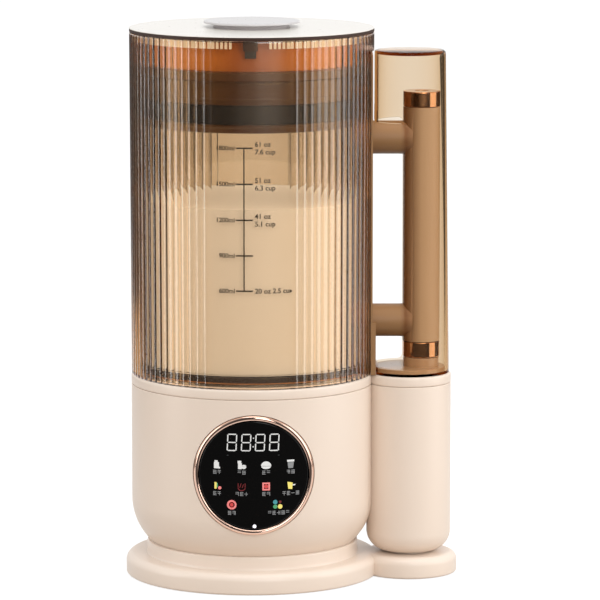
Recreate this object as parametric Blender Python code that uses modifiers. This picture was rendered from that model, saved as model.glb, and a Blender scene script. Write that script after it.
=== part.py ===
"""Soy milk maker: motor base, lift-off ribbed jug with its handle, blades, lid and cap."""

import math

import bmesh
import bpy
from mathutils import Matrix, Vector

# Fits
CLEARANCE = 0.0003
OVERRUN = 0.0030
MERGE_DISTANCE = 0.00001

# Layout: the jug's axis stands at x = 0 before the whole is centred on its footprint
BODY_RADIUS = 0.0745
COLUMN_RADIUS = 0.0260
COLUMN_OVERLAP = 0.0039
BODY_HEIGHT = 0.1010
SLEEVE_HEIGHT = 0.2103

# Facets
ROUND_STEPS = 36
INNER_STEPS = 28
SMALL_STEPS = 16
FOOT_STEPS = 12
PANEL_STEPS = 28
CORNER_STEPS = 3
BODY_CURVE_STEPS = 5

# Base
FOOT_RADIUS = 0.0070
FOOT_HEIGHT = 0.0030
FOOT_REVEAL = 0.0004
FOOT_CHAMFER = 0.0006
FOOT_INSET = 0.0142
FOOT_ANGLE = math.radians(38)
FOOT_BOSS_WALL = 0.0015
PLINTH_OVERHANG = 0.0037
COLUMN_OVERHANG = 0.0040
PLINTH_HEIGHT = 0.0128
PLINTH_ROUNDING = 0.0050
PLINTH_WALL = 0.0045
PLINTH_TOP_WALL = 0.0035
DAIS_HEIGHT = 0.0083
DAIS_LIP = 0.0015
DAIS_ROUNDING = 0.0010
DAIS_FLARE = 0.0012
SEAT_RISE = 0.0045
COLUMN_NECK_RADIUS = 0.0130
COLUMN_NECK_HEIGHT = 0.0005
AIR_RIM = 0.0040
COVER_THICKNESS = 0.0020
COVER_GAP = 0.0050
COVER_LAP = 0.0090
COVER_RECESS = 0.0005
SLOT_COUNT = 12
SLOT_WIDTH = 0.0035
SLOT_INNER = 0.0150
SLOT_RIM = 0.0040

# Body
BODY_WALL = 0.0030
BODY_FOOT_CURVE = 0.0360
BODY_FOOT_RISE = 0.0298
COLUMN_FILLET = 0.0125
BODY_HOLE_LEDGE = 0.0030
PANEL_DROP = 0.0454
PANEL_SHIFT = 0.0015
PANEL_RADIUS = 0.0365
BEZEL_WIDTH = 0.0035
BEZEL_PROUD = 0.0013
GLASS_PROUD = 0.0007
GLASS_THICKNESS = 0.0022
PANEL_DEPTH = 0.0400
BOARD_RADIUS = 0.0290
BOARD_THICKNESS = 0.0016
BOARD_SETBACK = 0.0085
DISPLAY_WIDTH = 0.0360
DISPLAY_HEIGHT = 0.0150
DISPLAY_RISE = 0.0175

# Inlet
INLET_RISE = 0.0440
INLET_WIDTH = 0.0310
INLET_TALL = 0.0230
INLET_PROUD = 0.0010
INLET_LENGTH = 0.0240
RECESS_WIDTH = 0.0245
RECESS_TALL = 0.0165
RECESS_DEPTH = 0.0160
PIN_WIDTH = 0.0020
PIN_TALL = 0.0040
PIN_LENGTH = 0.0130
PIN_SPACING = 0.0070
PIN_OFFSET = 0.0020
PIN_TAIL = 0.0060

# Deck
SKIRT_DEPTH = 0.0123
SKIRT_WALL = 0.0025
SKIRT_GAP = 0.0005
DECK_THICKNESS = 0.0025
DECK_WALL = 0.0027
DECK_RIM_DROP = 0.0008
DECK_HOLE_RADIUS = 0.0070
COLUMN_COVER_THICKNESS = 0.0030
COLUMN_COVER_DROP = 0.0030

# Connectors
CONNECTOR_RADIUS = 0.0090
CONNECTOR_FLANGE = 0.0120
CONNECTOR_FLANGE_THICKNESS = 0.0027
CONNECTOR_RECESS_RADIUS = 0.0060
CONNECTOR_RECESS_DEPTH = 0.0066
CONNECTOR_PLUG_RADIUS = 0.0054
CONNECTOR_PLUG_DROP = 0.0050
CONNECTOR_DROP = 0.0004
CONNECTOR_BODY_LENGTH = 0.0180

# Motor
RUBBER_RADIUS = 0.0040
RUBBER_HEIGHT = 0.0055
RUBBER_Y = 0.0300
BRACKET_THICKNESS = 0.0030
BRACKET_X = 0.0130
BRACKET_Y = 0.0350
POST_RADIUS = 0.0028
POST_Y = 0.0285
TOP_POST_LENGTH = 0.0040
LOWER_POST_LENGTH = 0.0170
HUB_RADIUS = 0.0120
HUB_HEIGHT = 0.0070
BEARING_RADIUS = 0.0090
STATOR_HEIGHT = 0.0260
STATOR_X = 0.0380
STATOR_Y = 0.0320
STATOR_WALL = 0.0070
STATOR_BORE = 0.0217
POLE_Y = 0.0120
COIL_X = 0.0240
COIL_THICKNESS = 0.0060
COIL_WALL = 0.0048
SHAFT_RADIUS = 0.0040
CORE_GAP = 0.0009
CORE_SLOT_COUNT = 12
CORE_SLOT_DEPTH_SHARE = 0.45
CORE_SLOT_WIDTH_SHARE = 0.4
COMMUTATOR_RADIUS = 0.0100
COMMUTATOR_HEIGHT = 0.0105
COMMUTATOR_GAP = 0.0020
BRUSH_GAP = 0.0005
BRUSH_LENGTH = 0.0130
BRUSH_WIDTH = 0.0090
BRUSH_HEIGHT = 0.0120
FAN_RADIUS = 0.0320
FAN_HEIGHT = 0.0080
FAN_PLATE = 0.0015
FAN_HUB_RADIUS = 0.0080
FAN_BLADE_COUNT = 9
FAN_BLADE_THICKNESS = 0.0015
FAN_GAP = 0.0015

# Power
POWER_BOARD_WIDTH = 0.0560
POWER_BOARD_HEIGHT = 0.0290
POWER_BOARD_Y = 0.0385
CAPACITOR_RADIUS = 0.0080
CAPACITOR_LENGTH = 0.0090
RELAY_SIZE = 0.0140

# Coupling
COUPLER_LIFT = 0.0010
COUPLER_RADIUS = 0.0150
COUPLER_HEIGHT = 0.0103
COUPLER_FLOOR = 0.0030
COUPLER_CUP_RADIUS = 0.0125
TOOTH_COUNT = 6
TOOTH_DEPTH = 0.0030
TOOTH_WIDTH = 0.0036
TOOTH_TIP_SHARE = 0.8
TOOTH_GAP = 0.0005
STAR_HEIGHT = 0.0075

# Collar
COLLAR_HEIGHT = 0.0059
COLLAR_EDGE = 0.0009
COLLAR_LEDGE = 0.0015
COLLAR_RING_HEIGHT = 0.0015
PAN_THICKNESS = 0.0012
PAN_GAP = 0.0030
PAN_TAPER = 0.0035
PAN_RISE = 0.0123
PAN_HOLE_RADIUS = 0.0143
GASKET_HEIGHT = 0.0040
GASKET_PROUD = 0.0008
ELEMENT_RADIUS = 0.0040
ELEMENT_INSET = 0.0160
ELEMENT_TAIL = 0.0080
ELEMENT_GAP_ANGLE = math.radians(50)
ELEMENT_POINTS = 20

# Jug
SLEEVE_PROUD = 0.0005
SLEEVE_WALL = 0.0034
SLEEVE_DRAFT = 0.0006
FLUTE_COUNT = 84
FLUTE_DEPTH = 0.0009
WINDOW_ANGLE = math.radians(15.5)
GLASS_GAP = 0.0021
GLASS_WALL = 0.0030
GLASS_LIP = 0.0008

# Handle
SHELL_INSET = 0.0012
SHELL_TAPER = 0.0027
SHELL_WALL = 0.0022
SHELL_DROP = 0.0113
SHELL_ROUNDING = 0.0020
SHELL_FLOOR = 0.0038
GAP_INSET = 0.0038
GAP_BOTTOM = 0.0010
GAP_DROP = 0.0433
STRIP_INSET = 0.0010
STRIP_THICKNESS = 0.0010
STRIP_FOOT_PROUD = 0.0020
STRIP_WIDTH = 0.0330
GRIP_OFFSET = 0.0075
GRIP_RADIUS = 0.01135
GRIP_SPLIT_OFFSET = 0.0051
GRIP_CORE_RADIUS = 0.0070
GRIP_SEAT = 0.0058
RING_HEIGHT = 0.0094
RING_CHAMFER = 0.0004
GRIP_DROP = 0.0348
UPPER_ARM_RADIUS = 0.0102
LOWER_ARM_RADIUS = 0.0101
UPPER_ARM_DROP = 0.0537
LOWER_ARM_RISE = 0.0321
SCREW_RADIUS = 0.0018
SCREW_HEAD_RADIUS = 0.0038
SCREW_HEAD_HEIGHT = 0.0009
SCREW_LENGTH = 0.0140

# Blades
HOUSING_RADIUS = 0.0140
HOUSING_TOP = 0.0055
HOUSING_FLANGE_RADIUS = 0.0190
HOUSING_FLANGE = 0.0020
HOUSING_LENGTH = 0.0260
HOUSING_CHAMFER = 0.0015
HUB_DISC_RADIUS = 0.0080
BLADE_THICKNESS = 0.0016
BLADE_REACH = 0.0270
BLADE_ROOT = 0.0110
BLADE_TIP = 0.0050
UPPER_BEND = math.radians(24)
LOWER_BEND = math.radians(-8)
BLADE_LIFT = 0.0020
NUT_RADIUS = 0.0065
NUT_HEIGHT = 0.0050
NUT_DOME = 0.0030

# Lid
LID_THICKNESS = 0.0024
LID_EDGE = 0.0010
LID_BORE = 0.0235
LID_SKIRT_DEPTH = 0.0071
LID_SKIRT_WALL = 0.0015
PLUG_NECK = 0.0191
PLUG_FLANGE = 0.0054
PLUG_DEPTH = 0.0317
PLUG_WALL = 0.0025
FEED_WALL = 0.0022
SEAL_HEIGHT = 0.0140
SEAL_DROP = 0.0123
SEAL_GAP = 0.0005
SEAL_THICKNESS = 0.0020
SEAL_LIP = 0.0009
SEAL_LIP_COUNT = 3
SEAL_SHOULDER = 0.0009
SEAL_SHOULDER_HEIGHT = 0.0015
KEY_WIDTH = 0.0067
KEY_DEPTH = 0.0030
KEY_HEIGHT = 0.0106

# Cap
CAP_RADIUS = 0.02935
CAP_THICKNESS = 0.0014
CAP_CHAMFER = 0.0004
CAP_NECK = 0.0026
CAP_PLUG_DEPTH = 0.0150
CAP_PLUG_WALL = 0.0020

# Heights that follow from the stack
plinth_top = FOOT_REVEAL + PLINTH_HEIGHT
dais_top = plinth_top + DAIS_HEIGHT
seat_top = plinth_top + SEAT_RISE
body_bottom = seat_top + CLEARANCE
column_neck_top = plinth_top + COLUMN_NECK_HEIGHT
column_bottom = column_neck_top + CLEARANCE
body_top = body_bottom + BODY_HEIGHT
collar_bottom = body_top + CLEARANCE
collar_top = collar_bottom + COLLAR_HEIGHT
sleeve_bottom = collar_top + CLEARANCE
sleeve_top = sleeve_bottom + SLEEVE_HEIGHT
lid_bottom = sleeve_top + CLEARANCE
lid_top = lid_bottom + LID_THICKNESS
plug_top = lid_bottom - CLEARANCE
flange_top = plug_top - PLUG_NECK
flange_bottom = flange_top - PLUG_FLANGE
plug_bottom = flange_bottom - PLUG_DEPTH
skirt_bottom = collar_bottom - SKIRT_DEPTH
deck_top = skirt_bottom - CLEARANCE
deck_bottom = deck_top - DECK_THICKNESS
ring_top = collar_top + COLLAR_RING_HEIGHT
pan_bottom = ring_top + CLEARANCE
pan_flange_top = pan_bottom + PAN_THICKNESS
pan_floor = pan_flange_top + PAN_RISE
gasket_top = pan_flange_top + CLEARANCE + GASKET_HEIGHT
glass_bottom = gasket_top + CLEARANCE
glass_top = flange_bottom - CLEARANCE
bracket_top = deck_bottom - CLEARANCE - RUBBER_HEIGHT - CLEARANCE
bracket_bottom = bracket_top - BRACKET_THICKNESS
stator_top = bracket_bottom - TOP_POST_LENGTH - CLEARANCE
stator_bottom = stator_top - STATOR_HEIGHT
lower_bracket_top = stator_bottom - CLEARANCE - LOWER_POST_LENGTH
lower_bracket_bottom = lower_bracket_top - BRACKET_THICKNESS
fan_top = lower_bracket_top - BRACKET_THICKNESS / 2 - HUB_HEIGHT / 2 - FAN_GAP
fan_bottom = fan_top - FAN_HEIGHT
coupler_bottom = deck_top + COUPLER_LIFT
coupler_top = coupler_bottom + COUPLER_HEIGHT
star_bottom = coupler_bottom + COUPLER_FLOOR + CLEARANCE
star_top = star_bottom + STAR_HEIGHT
housing_top = pan_floor + HOUSING_TOP
housing_bottom = housing_top - HOUSING_LENGTH
lower_blade_bottom = housing_top + BLADE_LIFT
blade_pitch = BLADE_THICKNESS + CLEARANCE
nut_bottom = lower_blade_bottom + 2 * blade_pitch
shell_top = sleeve_top - SHELL_DROP
gap_bottom = sleeve_bottom + SHELL_FLOOR + GAP_BOTTOM
gap_top = shell_top - GAP_DROP
lower_ring_bottom = sleeve_bottom + SHELL_FLOOR + GRIP_SEAT + CLEARANCE
grip_bottom = lower_ring_bottom + RING_HEIGHT + CLEARANCE
grip_top = shell_top - GRIP_DROP
upper_ring_bottom = grip_top + CLEARANCE
upper_arm_height = shell_top - UPPER_ARM_DROP
lower_arm_height = sleeve_bottom + LOWER_ARM_RISE
cap_bottom = lid_top + CAP_NECK
panel_height = body_top - PANEL_DROP
inlet_height = body_bottom + INLET_RISE

# Radii that follow from the walls
body_inner = BODY_RADIUS - BODY_WALL
column_inner = COLUMN_RADIUS - BODY_WALL
plinth_radius = BODY_RADIUS + PLINTH_OVERHANG
plinth_column_radius = COLUMN_RADIUS + COLUMN_OVERHANG
foot_circle = plinth_radius - FOOT_INSET
cover_radius = foot_circle - FOOT_RADIUS - COVER_GAP
air_hole_radius = cover_radius - COVER_LAP
body_hole_radius = air_hole_radius + BODY_HOLE_LEDGE
foot_curve_axis = BODY_RADIUS - BODY_FOOT_CURVE
foot_curve_height = body_bottom + BODY_FOOT_RISE
dish_curve = BODY_FOOT_CURVE + CLEARANCE
dish_radius = foot_curve_axis + math.sqrt(dish_curve**2 - (foot_curve_height - dais_top) ** 2)
dais_radius = dish_radius + DAIS_LIP
skirt_radius = body_inner - CLEARANCE - DECK_WALL - SKIRT_GAP
sleeve_radius = BODY_RADIUS + SLEEVE_PROUD
sleeve_inner = sleeve_radius - SLEEVE_WALL - SLEEVE_DRAFT
glass_outer = sleeve_inner + SLEEVE_DRAFT - GLASS_GAP
glass_inner = glass_outer - GLASS_WALL
pan_wall_radius = glass_inner - PAN_GAP
pan_floor_radius = pan_wall_radius - PAN_TAPER
element_circle = pan_floor_radius - ELEMENT_INSET
collar_hole_radius = pan_wall_radius - COLLAR_LEDGE
seal_radius = glass_inner - SEAL_GAP
plug_radius = seal_radius - SEAL_THICKNESS
plug_flange_radius = glass_outer - CLEARANCE
shell_foot_radius = COLUMN_RADIUS - SHELL_INSET
shell_top_radius = shell_foot_radius - SHELL_TAPER
glass_radius = PANEL_RADIUS - BEZEL_WIDTH
core_radius = STATOR_BORE - CORE_GAP
shaft_bore = SHAFT_RADIUS + CLEARANCE
cap_neck_radius = LID_BORE - CLEARANCE

# Places along the line from the jug's axis to the handle
column_x = BODY_RADIUS + COLUMN_RADIUS - COLUMN_OVERLAP
strip_face = sleeve_radius - STRIP_INSET
strip_back = strip_face - STRIP_THICKNESS
strip_foot_face = strip_face + STRIP_FOOT_PROUD
gap_right = column_x - GAP_INSET
grip_axis = column_x + GRIP_OFFSET
grip_split = grip_axis - GRIP_SPLIT_OFFSET


def clear_scene():
    """Empties the scene so that the model starts from nothing."""
    for item in list(bpy.data.objects):
        bpy.data.objects.remove(item, do_unlink=True)


def new_group(name):
    """Adds a collection to the scene."""
    group = bpy.data.collections.new(name)
    bpy.context.scene.collection.children.link(group)
    return group


clear_scene()
parts = new_group("soy_milk_maker")
cutters = new_group("cutters")


def new_anchor():
    """An empty that brings the middle of the footprint to x = 0."""
    empty = bpy.data.objects.new("footprint_centre", None)
    left = -plinth_radius
    right = column_x + plinth_column_radius
    empty.location.x = -(left + right) / 2
    parts.objects.link(empty)
    return empty


anchor = new_anchor()


def new_material(name, colour, roughness, metallic=0.0):
    """A plain shader in the piece's own colour."""
    material = bpy.data.materials.new(name)
    material.use_nodes = True
    shader = material.node_tree.nodes["Principled BSDF"]
    shader.inputs["Base Color"].default_value = (*colour, 1)
    shader.inputs["Roughness"].default_value = roughness
    shader.inputs["Metallic"].default_value = metallic
    return material


cream = new_material("cream_plastic", (0.80, 0.68, 0.58), 0.35)
lid_cream = new_material("lid_plastic", (0.90, 0.86, 0.80), 0.3)
amber = new_material("amber_plastic", (0.55, 0.36, 0.19), 0.1)
handle_beige = new_material("handle_plastic", (0.58, 0.42, 0.28), 0.35)
handle_brown = new_material("handle_frame_plastic", (0.30, 0.18, 0.09), 0.35)
gold = new_material("rose_gold", (0.72, 0.42, 0.24), 0.2, 1.0)
black_glass = new_material("black_glass", (0.01, 0.01, 0.01), 0.08)
clear_glass = new_material("jug_glass", (0.85, 0.82, 0.76), 0.03)
silicone = new_material("grey_silicone", (0.20, 0.16, 0.15), 0.6)
rubber = new_material("black_rubber", (0.02, 0.02, 0.02), 0.7)
steel = new_material("stainless_steel", (0.60, 0.60, 0.60), 0.25, 1.0)
copper = new_material("copper_wire", (0.60, 0.25, 0.10), 0.35, 1.0)
iron = new_material("lamination_steel", (0.25, 0.25, 0.27), 0.4, 1.0)
brass = new_material("brass", (0.70, 0.52, 0.22), 0.3, 1.0)
board_green = new_material("circuit_board", (0.03, 0.18, 0.08), 0.45)
inner_black = new_material("black_plastic", (0.03, 0.03, 0.03), 0.4)
cap_grey = new_material("cap_plastic", (0.74, 0.72, 0.70), 0.3)


def add_object(name, mesh, group, material=None):
    """Puts a mesh into the scene under the anchor, as a part or as a cutter."""
    item = bpy.data.objects.new(name, mesh)
    group.objects.link(item)
    item.parent = anchor
    if group == cutters:
        item.hide_render = True
        item.display_type = "WIRE"
    if material:
        mesh.materials.append(material)
    return item


def turned(name, section, group, material=None, steps=ROUND_STEPS, closed=True, x=0.0, y=0.0):
    """Turns a section of (radius, height) points, run down its outer side, round the vertical."""
    mesh = bpy.data.meshes.new(name)
    points = [(radius, 0, height) for radius, height in section]
    edges = [(index, index + 1) for index in range(len(points) - 1)]
    if closed:
        edges.append((len(points) - 1, 0))
    mesh.from_pydata(points, edges, [])
    item = add_object(name, mesh, group, material)
    item.location = (x, y, 0)
    screw = item.modifiers.new("turn", "SCREW")
    screw.axis = "Z"
    screw.angle = 2 * math.pi
    screw.steps = steps
    screw.render_steps = steps
    screw.use_merge_vertices = True
    screw.merge_threshold = MERGE_DISTANCE
    return item


def tube(name, outer, inner, bottom, top, group, material=None, steps=ROUND_STEPS, x=0.0, y=0.0):
    """A plain upright ring."""
    section = [(outer, top), (outer, bottom), (inner, bottom), (inner, top)]
    return turned(name, section, group, material, steps, x=x, y=y)


def rod(name, radius, bottom, top, group, material=None, steps=SMALL_STEPS, x=0.0, y=0.0):
    """A plain upright cylinder."""
    mesh = bpy.data.meshes.new(name)
    shape = bmesh.new()
    height = top - bottom
    lift = Matrix.Translation((x, y, (top + bottom) / 2))
    bmesh.ops.create_cone(
        shape, cap_ends=True, segments=steps, radius1=radius, radius2=radius, depth=height, matrix=lift
    )
    shape.to_mesh(mesh)
    shape.free()
    return add_object(name, mesh, group, material)


def cross_rod(name, radius, start, end, group, material=None, steps=SMALL_STEPS):
    """A cylinder between two points."""
    mesh = bpy.data.meshes.new(name)
    shape = bmesh.new()
    start = Vector(start)
    end = Vector(end)
    turn = (end - start).to_track_quat("Z", "Y").to_matrix().to_4x4()
    place = Matrix.Translation((start + end) / 2) @ turn
    length = (end - start).length
    bmesh.ops.create_cone(
        shape, cap_ends=True, segments=steps, radius1=radius, radius2=radius, depth=length, matrix=place
    )
    shape.to_mesh(mesh)
    shape.free()
    return add_object(name, mesh, group, material)


def block(name, low, high, group, material=None):
    """A box between two corners."""
    mesh = bpy.data.meshes.new(name)
    shape = bmesh.new()
    low = Vector(low)
    high = Vector(high)
    size = Matrix.Diagonal((*(high - low), 1))
    bmesh.ops.create_cube(shape, size=1, matrix=Matrix.Translation((low + high) / 2) @ size)
    shape.to_mesh(mesh)
    shape.free()
    return add_object(name, mesh, group, material)


def weld(item):
    """Closes the hairline seams that a Boolean can leave."""
    modifier = item.modifiers.new("weld", "WELD")
    modifier.merge_threshold = MERGE_DISTANCE


def combine(item, other, operation):
    """Adds a Boolean with another object."""
    modifier = item.modifiers.new(other.name, "BOOLEAN")
    modifier.operation = operation
    modifier.object = other
    modifier.solver = "EXACT"


def cut(item, *others):
    """Takes the others away."""
    for other in others:
        combine(item, other, "DIFFERENCE")
    weld(item)


def join(item, *others):
    """Makes one body with the others."""
    for other in others:
        combine(item, other, "UNION")
    weld(item)


def figure_outline(large, small, large_steps=ROUND_STEPS, small_steps=SMALL_STEPS):
    """The outline round the jug's circle and the handle's circle, as two arcs that meet in a crease."""
    crease_x = (column_x**2 + large**2 - small**2) / (2 * column_x)
    crease_y = math.sqrt(large**2 - crease_x**2)
    large_angle = math.atan2(crease_y, crease_x)
    small_angle = math.atan2(crease_y, crease_x - column_x)
    points = []
    for step in range(large_steps + 1):
        angle = large_angle + (2 * math.pi - 2 * large_angle) * step / large_steps
        points.append((large * math.cos(angle), large * math.sin(angle)))
    for step in range(1, small_steps):
        angle = -small_angle + 2 * small_angle * step / small_steps
        points.append((column_x + small * math.cos(angle), small * math.sin(angle)))
    return points


def from_curve(name, curve, height, group, material=None):
    """Makes a closed mesh object of a curve, at a height."""
    holder = bpy.data.objects.new(name + "_curve", curve)
    bpy.context.scene.collection.objects.link(holder)
    bpy.context.view_layer.update()
    mesh = bpy.data.meshes.new_from_object(holder.evaluated_get(bpy.context.evaluated_depsgraph_get()))
    bpy.data.objects.remove(holder)
    mesh.name = name
    mesh.materials.clear()
    shape = bmesh.new()
    shape.from_mesh(mesh)
    bmesh.ops.remove_doubles(shape, verts=shape.verts, dist=MERGE_DISTANCE)
    bmesh.ops.recalc_face_normals(shape, faces=shape.faces)
    shape.to_mesh(mesh)
    shape.free()
    item = add_object(name, mesh, group, material)
    item.location.z = height
    return item


def plate(name, outlines, bottom, top, group, material=None, rounding=0.0, resolution=1):
    """A flat outline, with any further outlines as holes, given a thickness and rounded edges."""
    curve = bpy.data.curves.new(name, "CURVE")
    curve.dimensions = "2D"
    curve.fill_mode = "BOTH"
    curve.extrude = (top - bottom) / 2 - rounding
    curve.bevel_depth = rounding
    curve.bevel_resolution = resolution
    curve.offset = -rounding
    for outline in outlines:
        spline = curve.splines.new("POLY")
        spline.points.add(len(outline) - 1)
        for point, (x, y) in zip(spline.points, outline):
            point.co = (x, y, 0, 1)
        spline.use_cyclic_u = True
    return from_curve(name, curve, (top + bottom) / 2, group, material)


def ring_of_points(radius, count, turn=0.0):
    """Points evenly round a circle."""
    angles = [turn + 2 * math.pi * step / count for step in range(count)]
    return [(radius * math.cos(angle), radius * math.sin(angle)) for angle in angles]


def corner(centre_radius, centre_height, radius, start, end, steps=CORNER_STEPS):
    """Arc points of a section, between two angles in degrees."""
    points = []
    for step in range(steps + 1):
        angle = math.radians(start + (end - start) * step / steps)
        points.append((centre_radius + radius * math.cos(angle), centre_height + radius * math.sin(angle)))
    return points


def vessel_section(radius, bottom, top, curve, rise, steps=CORNER_STEPS):
    """Half the section of a solid drum whose foot curves in to a flat, down its outer side."""
    end = -math.degrees(math.asin(rise / curve))
    foot = corner(radius - curve, bottom + rise, curve, 0, end, steps)
    return [(0, top), (radius, top), *foot, (0, bottom)]


def foot_places():
    """Where the four feet stand."""
    angles = [FOOT_ANGLE, math.pi - FOOT_ANGLE, math.pi + FOOT_ANGLE, -FOOT_ANGLE]
    return [(foot_circle * math.cos(angle), foot_circle * math.sin(angle)) for angle in angles]


def make_feet():
    """Rubber feet pressed against the plinth's bosses."""
    for number, (x, y) in enumerate(foot_places(), 1):
        section = [
            (0, FOOT_HEIGHT),
            (FOOT_RADIUS, FOOT_HEIGHT),
            (FOOT_RADIUS, FOOT_CHAMFER),
            (FOOT_RADIUS - FOOT_CHAMFER, 0),
            (0, 0),
        ]
        turned(f"foot_{number}", section, parts, rubber, FOOT_STEPS, closed=False, x=x, y=y)


def seat_dish():
    """Arc of the dais's dish that the drum's rounded foot stands in, from its floor up."""
    low = -math.degrees(math.asin((foot_curve_height - seat_top) / dish_curve))
    high = -math.degrees(math.asin((foot_curve_height - dais_top) / dish_curve))
    return corner(foot_curve_axis, foot_curve_height, dish_curve, low, high)


def make_base_plinth():
    """Figure-eight plinth with a dished dais for the drum, hollow below, with a rimmed air hole."""
    outline = figure_outline(plinth_radius, plinth_column_radius)
    plinth = plate("base_plinth", [outline], FOOT_REVEAL, plinth_top, parts, cream, PLINTH_ROUNDING)
    pocket_top = plinth_top - PLINTH_TOP_WALL
    step = dais_radius - DAIS_ROUNDING
    dais_section = [
        *seat_dish(),
        *corner(step, dais_top - DAIS_ROUNDING, DAIS_ROUNDING, 90, 0),
        (dais_radius + DAIS_FLARE, plinth_top - CLEARANCE),
        (dais_radius + DAIS_FLARE, pocket_top + CLEARANCE),
        (air_hole_radius - OVERRUN, pocket_top + CLEARANCE),
        (air_hole_radius - OVERRUN, seat_top),
    ]
    dais = turned("dais", dais_section, cutters)
    column_neck = rod(
        "column_neck",
        COLUMN_NECK_RADIUS,
        pocket_top + CLEARANCE,
        column_neck_top,
        cutters,
        x=column_x,
    )
    inner = figure_outline(
        plinth_radius - PLINTH_WALL, plinth_column_radius - PLINTH_WALL, ROUND_STEPS // 2, SMALL_STEPS // 2
    )
    pocket = plate("plinth_pocket", [inner], FOOT_REVEAL - OVERRUN, pocket_top, cutters)
    rim_bottom = FOOT_REVEAL + COVER_RECESS + COVER_THICKNESS + CLEARANCE
    rim = tube(
        "air_rim",
        air_hole_radius + AIR_RIM,
        air_hole_radius - OVERRUN,
        rim_bottom,
        pocket_top + OVERRUN,
        cutters,
    )
    cut(pocket, rim)
    boss_radius = FOOT_RADIUS + FOOT_BOSS_WALL
    for number, (x, y) in enumerate(foot_places(), 1):
        boss = rod(
            f"foot_boss_{number}",
            boss_radius,
            FOOT_HEIGHT + CLEARANCE,
            pocket_top + OVERRUN,
            cutters,
            steps=FOOT_STEPS,
            x=x,
            y=y,
        )
        cut(pocket, boss)
    air_hole = rod("air_hole", air_hole_radius, 0, seat_top + OVERRUN, cutters, steps=ROUND_STEPS)
    join(plinth, dais, column_neck)
    cut(plinth, pocket, air_hole)


def slot_outline(angle):
    """One long vent slot along a radius."""
    half = SLOT_WIDTH / 2
    outer = air_hole_radius - SLOT_RIM
    corners = [(SLOT_INNER, -half), (outer, -half), (outer, half), (SLOT_INNER, half)]
    turn = Matrix.Rotation(angle, 2)
    return [tuple(turn @ Vector(point)) for point in corners]


def make_base_cover():
    """Round cover with vent slots under the motor's air hole."""
    bottom = FOOT_REVEAL + COVER_RECESS
    outlines = [ring_of_points(cover_radius, ROUND_STEPS)]
    for step in range(SLOT_COUNT):
        outlines.append(slot_outline(2 * math.pi * step / SLOT_COUNT))
    plate("base_cover", outlines, bottom, bottom + COVER_THICKNESS, parts, inner_black)


def make_body_shell():
    """Thin drum and slim column in one moulding, with rounded feet and openings for panel and inlet."""
    body = turned(
        "body_shell",
        vessel_section(
            BODY_RADIUS, body_bottom, body_top, BODY_FOOT_CURVE, BODY_FOOT_RISE, BODY_CURVE_STEPS
        ),
        parts,
        cream,
        closed=False,
    )
    column = turned(
        "column_drum",
        vessel_section(COLUMN_RADIUS, column_bottom, body_top, COLUMN_FILLET, COLUMN_FILLET),
        cutters,
        steps=SMALL_STEPS,
        closed=False,
        x=column_x,
    )
    inner_section = vessel_section(
        body_inner,
        body_bottom + BODY_WALL,
        body_top + OVERRUN,
        BODY_FOOT_CURVE - BODY_WALL,
        BODY_FOOT_RISE - BODY_WALL,
        BODY_CURVE_STEPS,
    )
    inner = turned("body_hollow", inner_section, cutters, closed=False)
    column_curve = COLUMN_FILLET - BODY_WALL
    column_section = vessel_section(
        column_inner, column_bottom + BODY_WALL, body_top + OVERRUN, column_curve, column_curve
    )
    column_hollow = turned(
        "column_hollow", column_section, cutters, steps=SMALL_STEPS, closed=False, x=column_x
    )
    hole = rod(
        "body_hole", body_hole_radius, 0, body_bottom + BODY_WALL + OVERRUN, cutters, steps=INNER_STEPS
    )
    window = cross_rod(
        "panel_hole",
        PANEL_RADIUS + CLEARANCE,
        (PANEL_SHIFT, -BODY_RADIUS - OVERRUN, panel_height),
        (PANEL_SHIFT, -PANEL_DEPTH, panel_height),
        cutters,
        steps=PANEL_STEPS,
    )
    half_width = INLET_WIDTH / 2 + CLEARANCE
    half_tall = INLET_TALL / 2 + CLEARANCE
    inlet_hole = block(
        "inlet_hole",
        (-half_width, body_inner - BODY_WALL * 2, inlet_height - half_tall),
        (half_width, BODY_RADIUS + OVERRUN, inlet_height + half_tall),
        cutters,
    )
    join(body, column)
    cut(body, inner, column_hollow, hole, window, inlet_hole)


def curved_disc(name, disc_radius, proud, thickness, group, material=None, hole_radius=0.0):
    """A round piece seen from the front whose faces follow the body's curve."""
    reach = BODY_RADIUS + OVERRUN
    disc = cross_rod(
        name,
        disc_radius,
        (PANEL_SHIFT, -reach, panel_height),
        (PANEL_SHIFT, -PANEL_DEPTH, panel_height),
        group,
        material,
        PANEL_STEPS,
    )
    outer = BODY_RADIUS + proud
    low = panel_height - PANEL_RADIUS - OVERRUN
    high = panel_height + PANEL_RADIUS + OVERRUN
    wall = tube(name + "_wall", outer, outer - thickness, low, high, cutters, steps=ROUND_STEPS * 2)
    combine(disc, wall, "INTERSECT")
    front_high = (reach, 0, high)
    front = block(name + "_front", (-reach, -reach - OVERRUN, low), front_high, cutters)
    combine(disc, front, "INTERSECT")
    if hole_radius:
        hole = cross_rod(
            name + "_hole",
            hole_radius,
            (PANEL_SHIFT, -reach - OVERRUN, panel_height),
            (PANEL_SHIFT, -PANEL_DEPTH + OVERRUN, panel_height),
            cutters,
            steps=PANEL_STEPS,
        )
        cut(disc, hole)
    return disc


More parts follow.
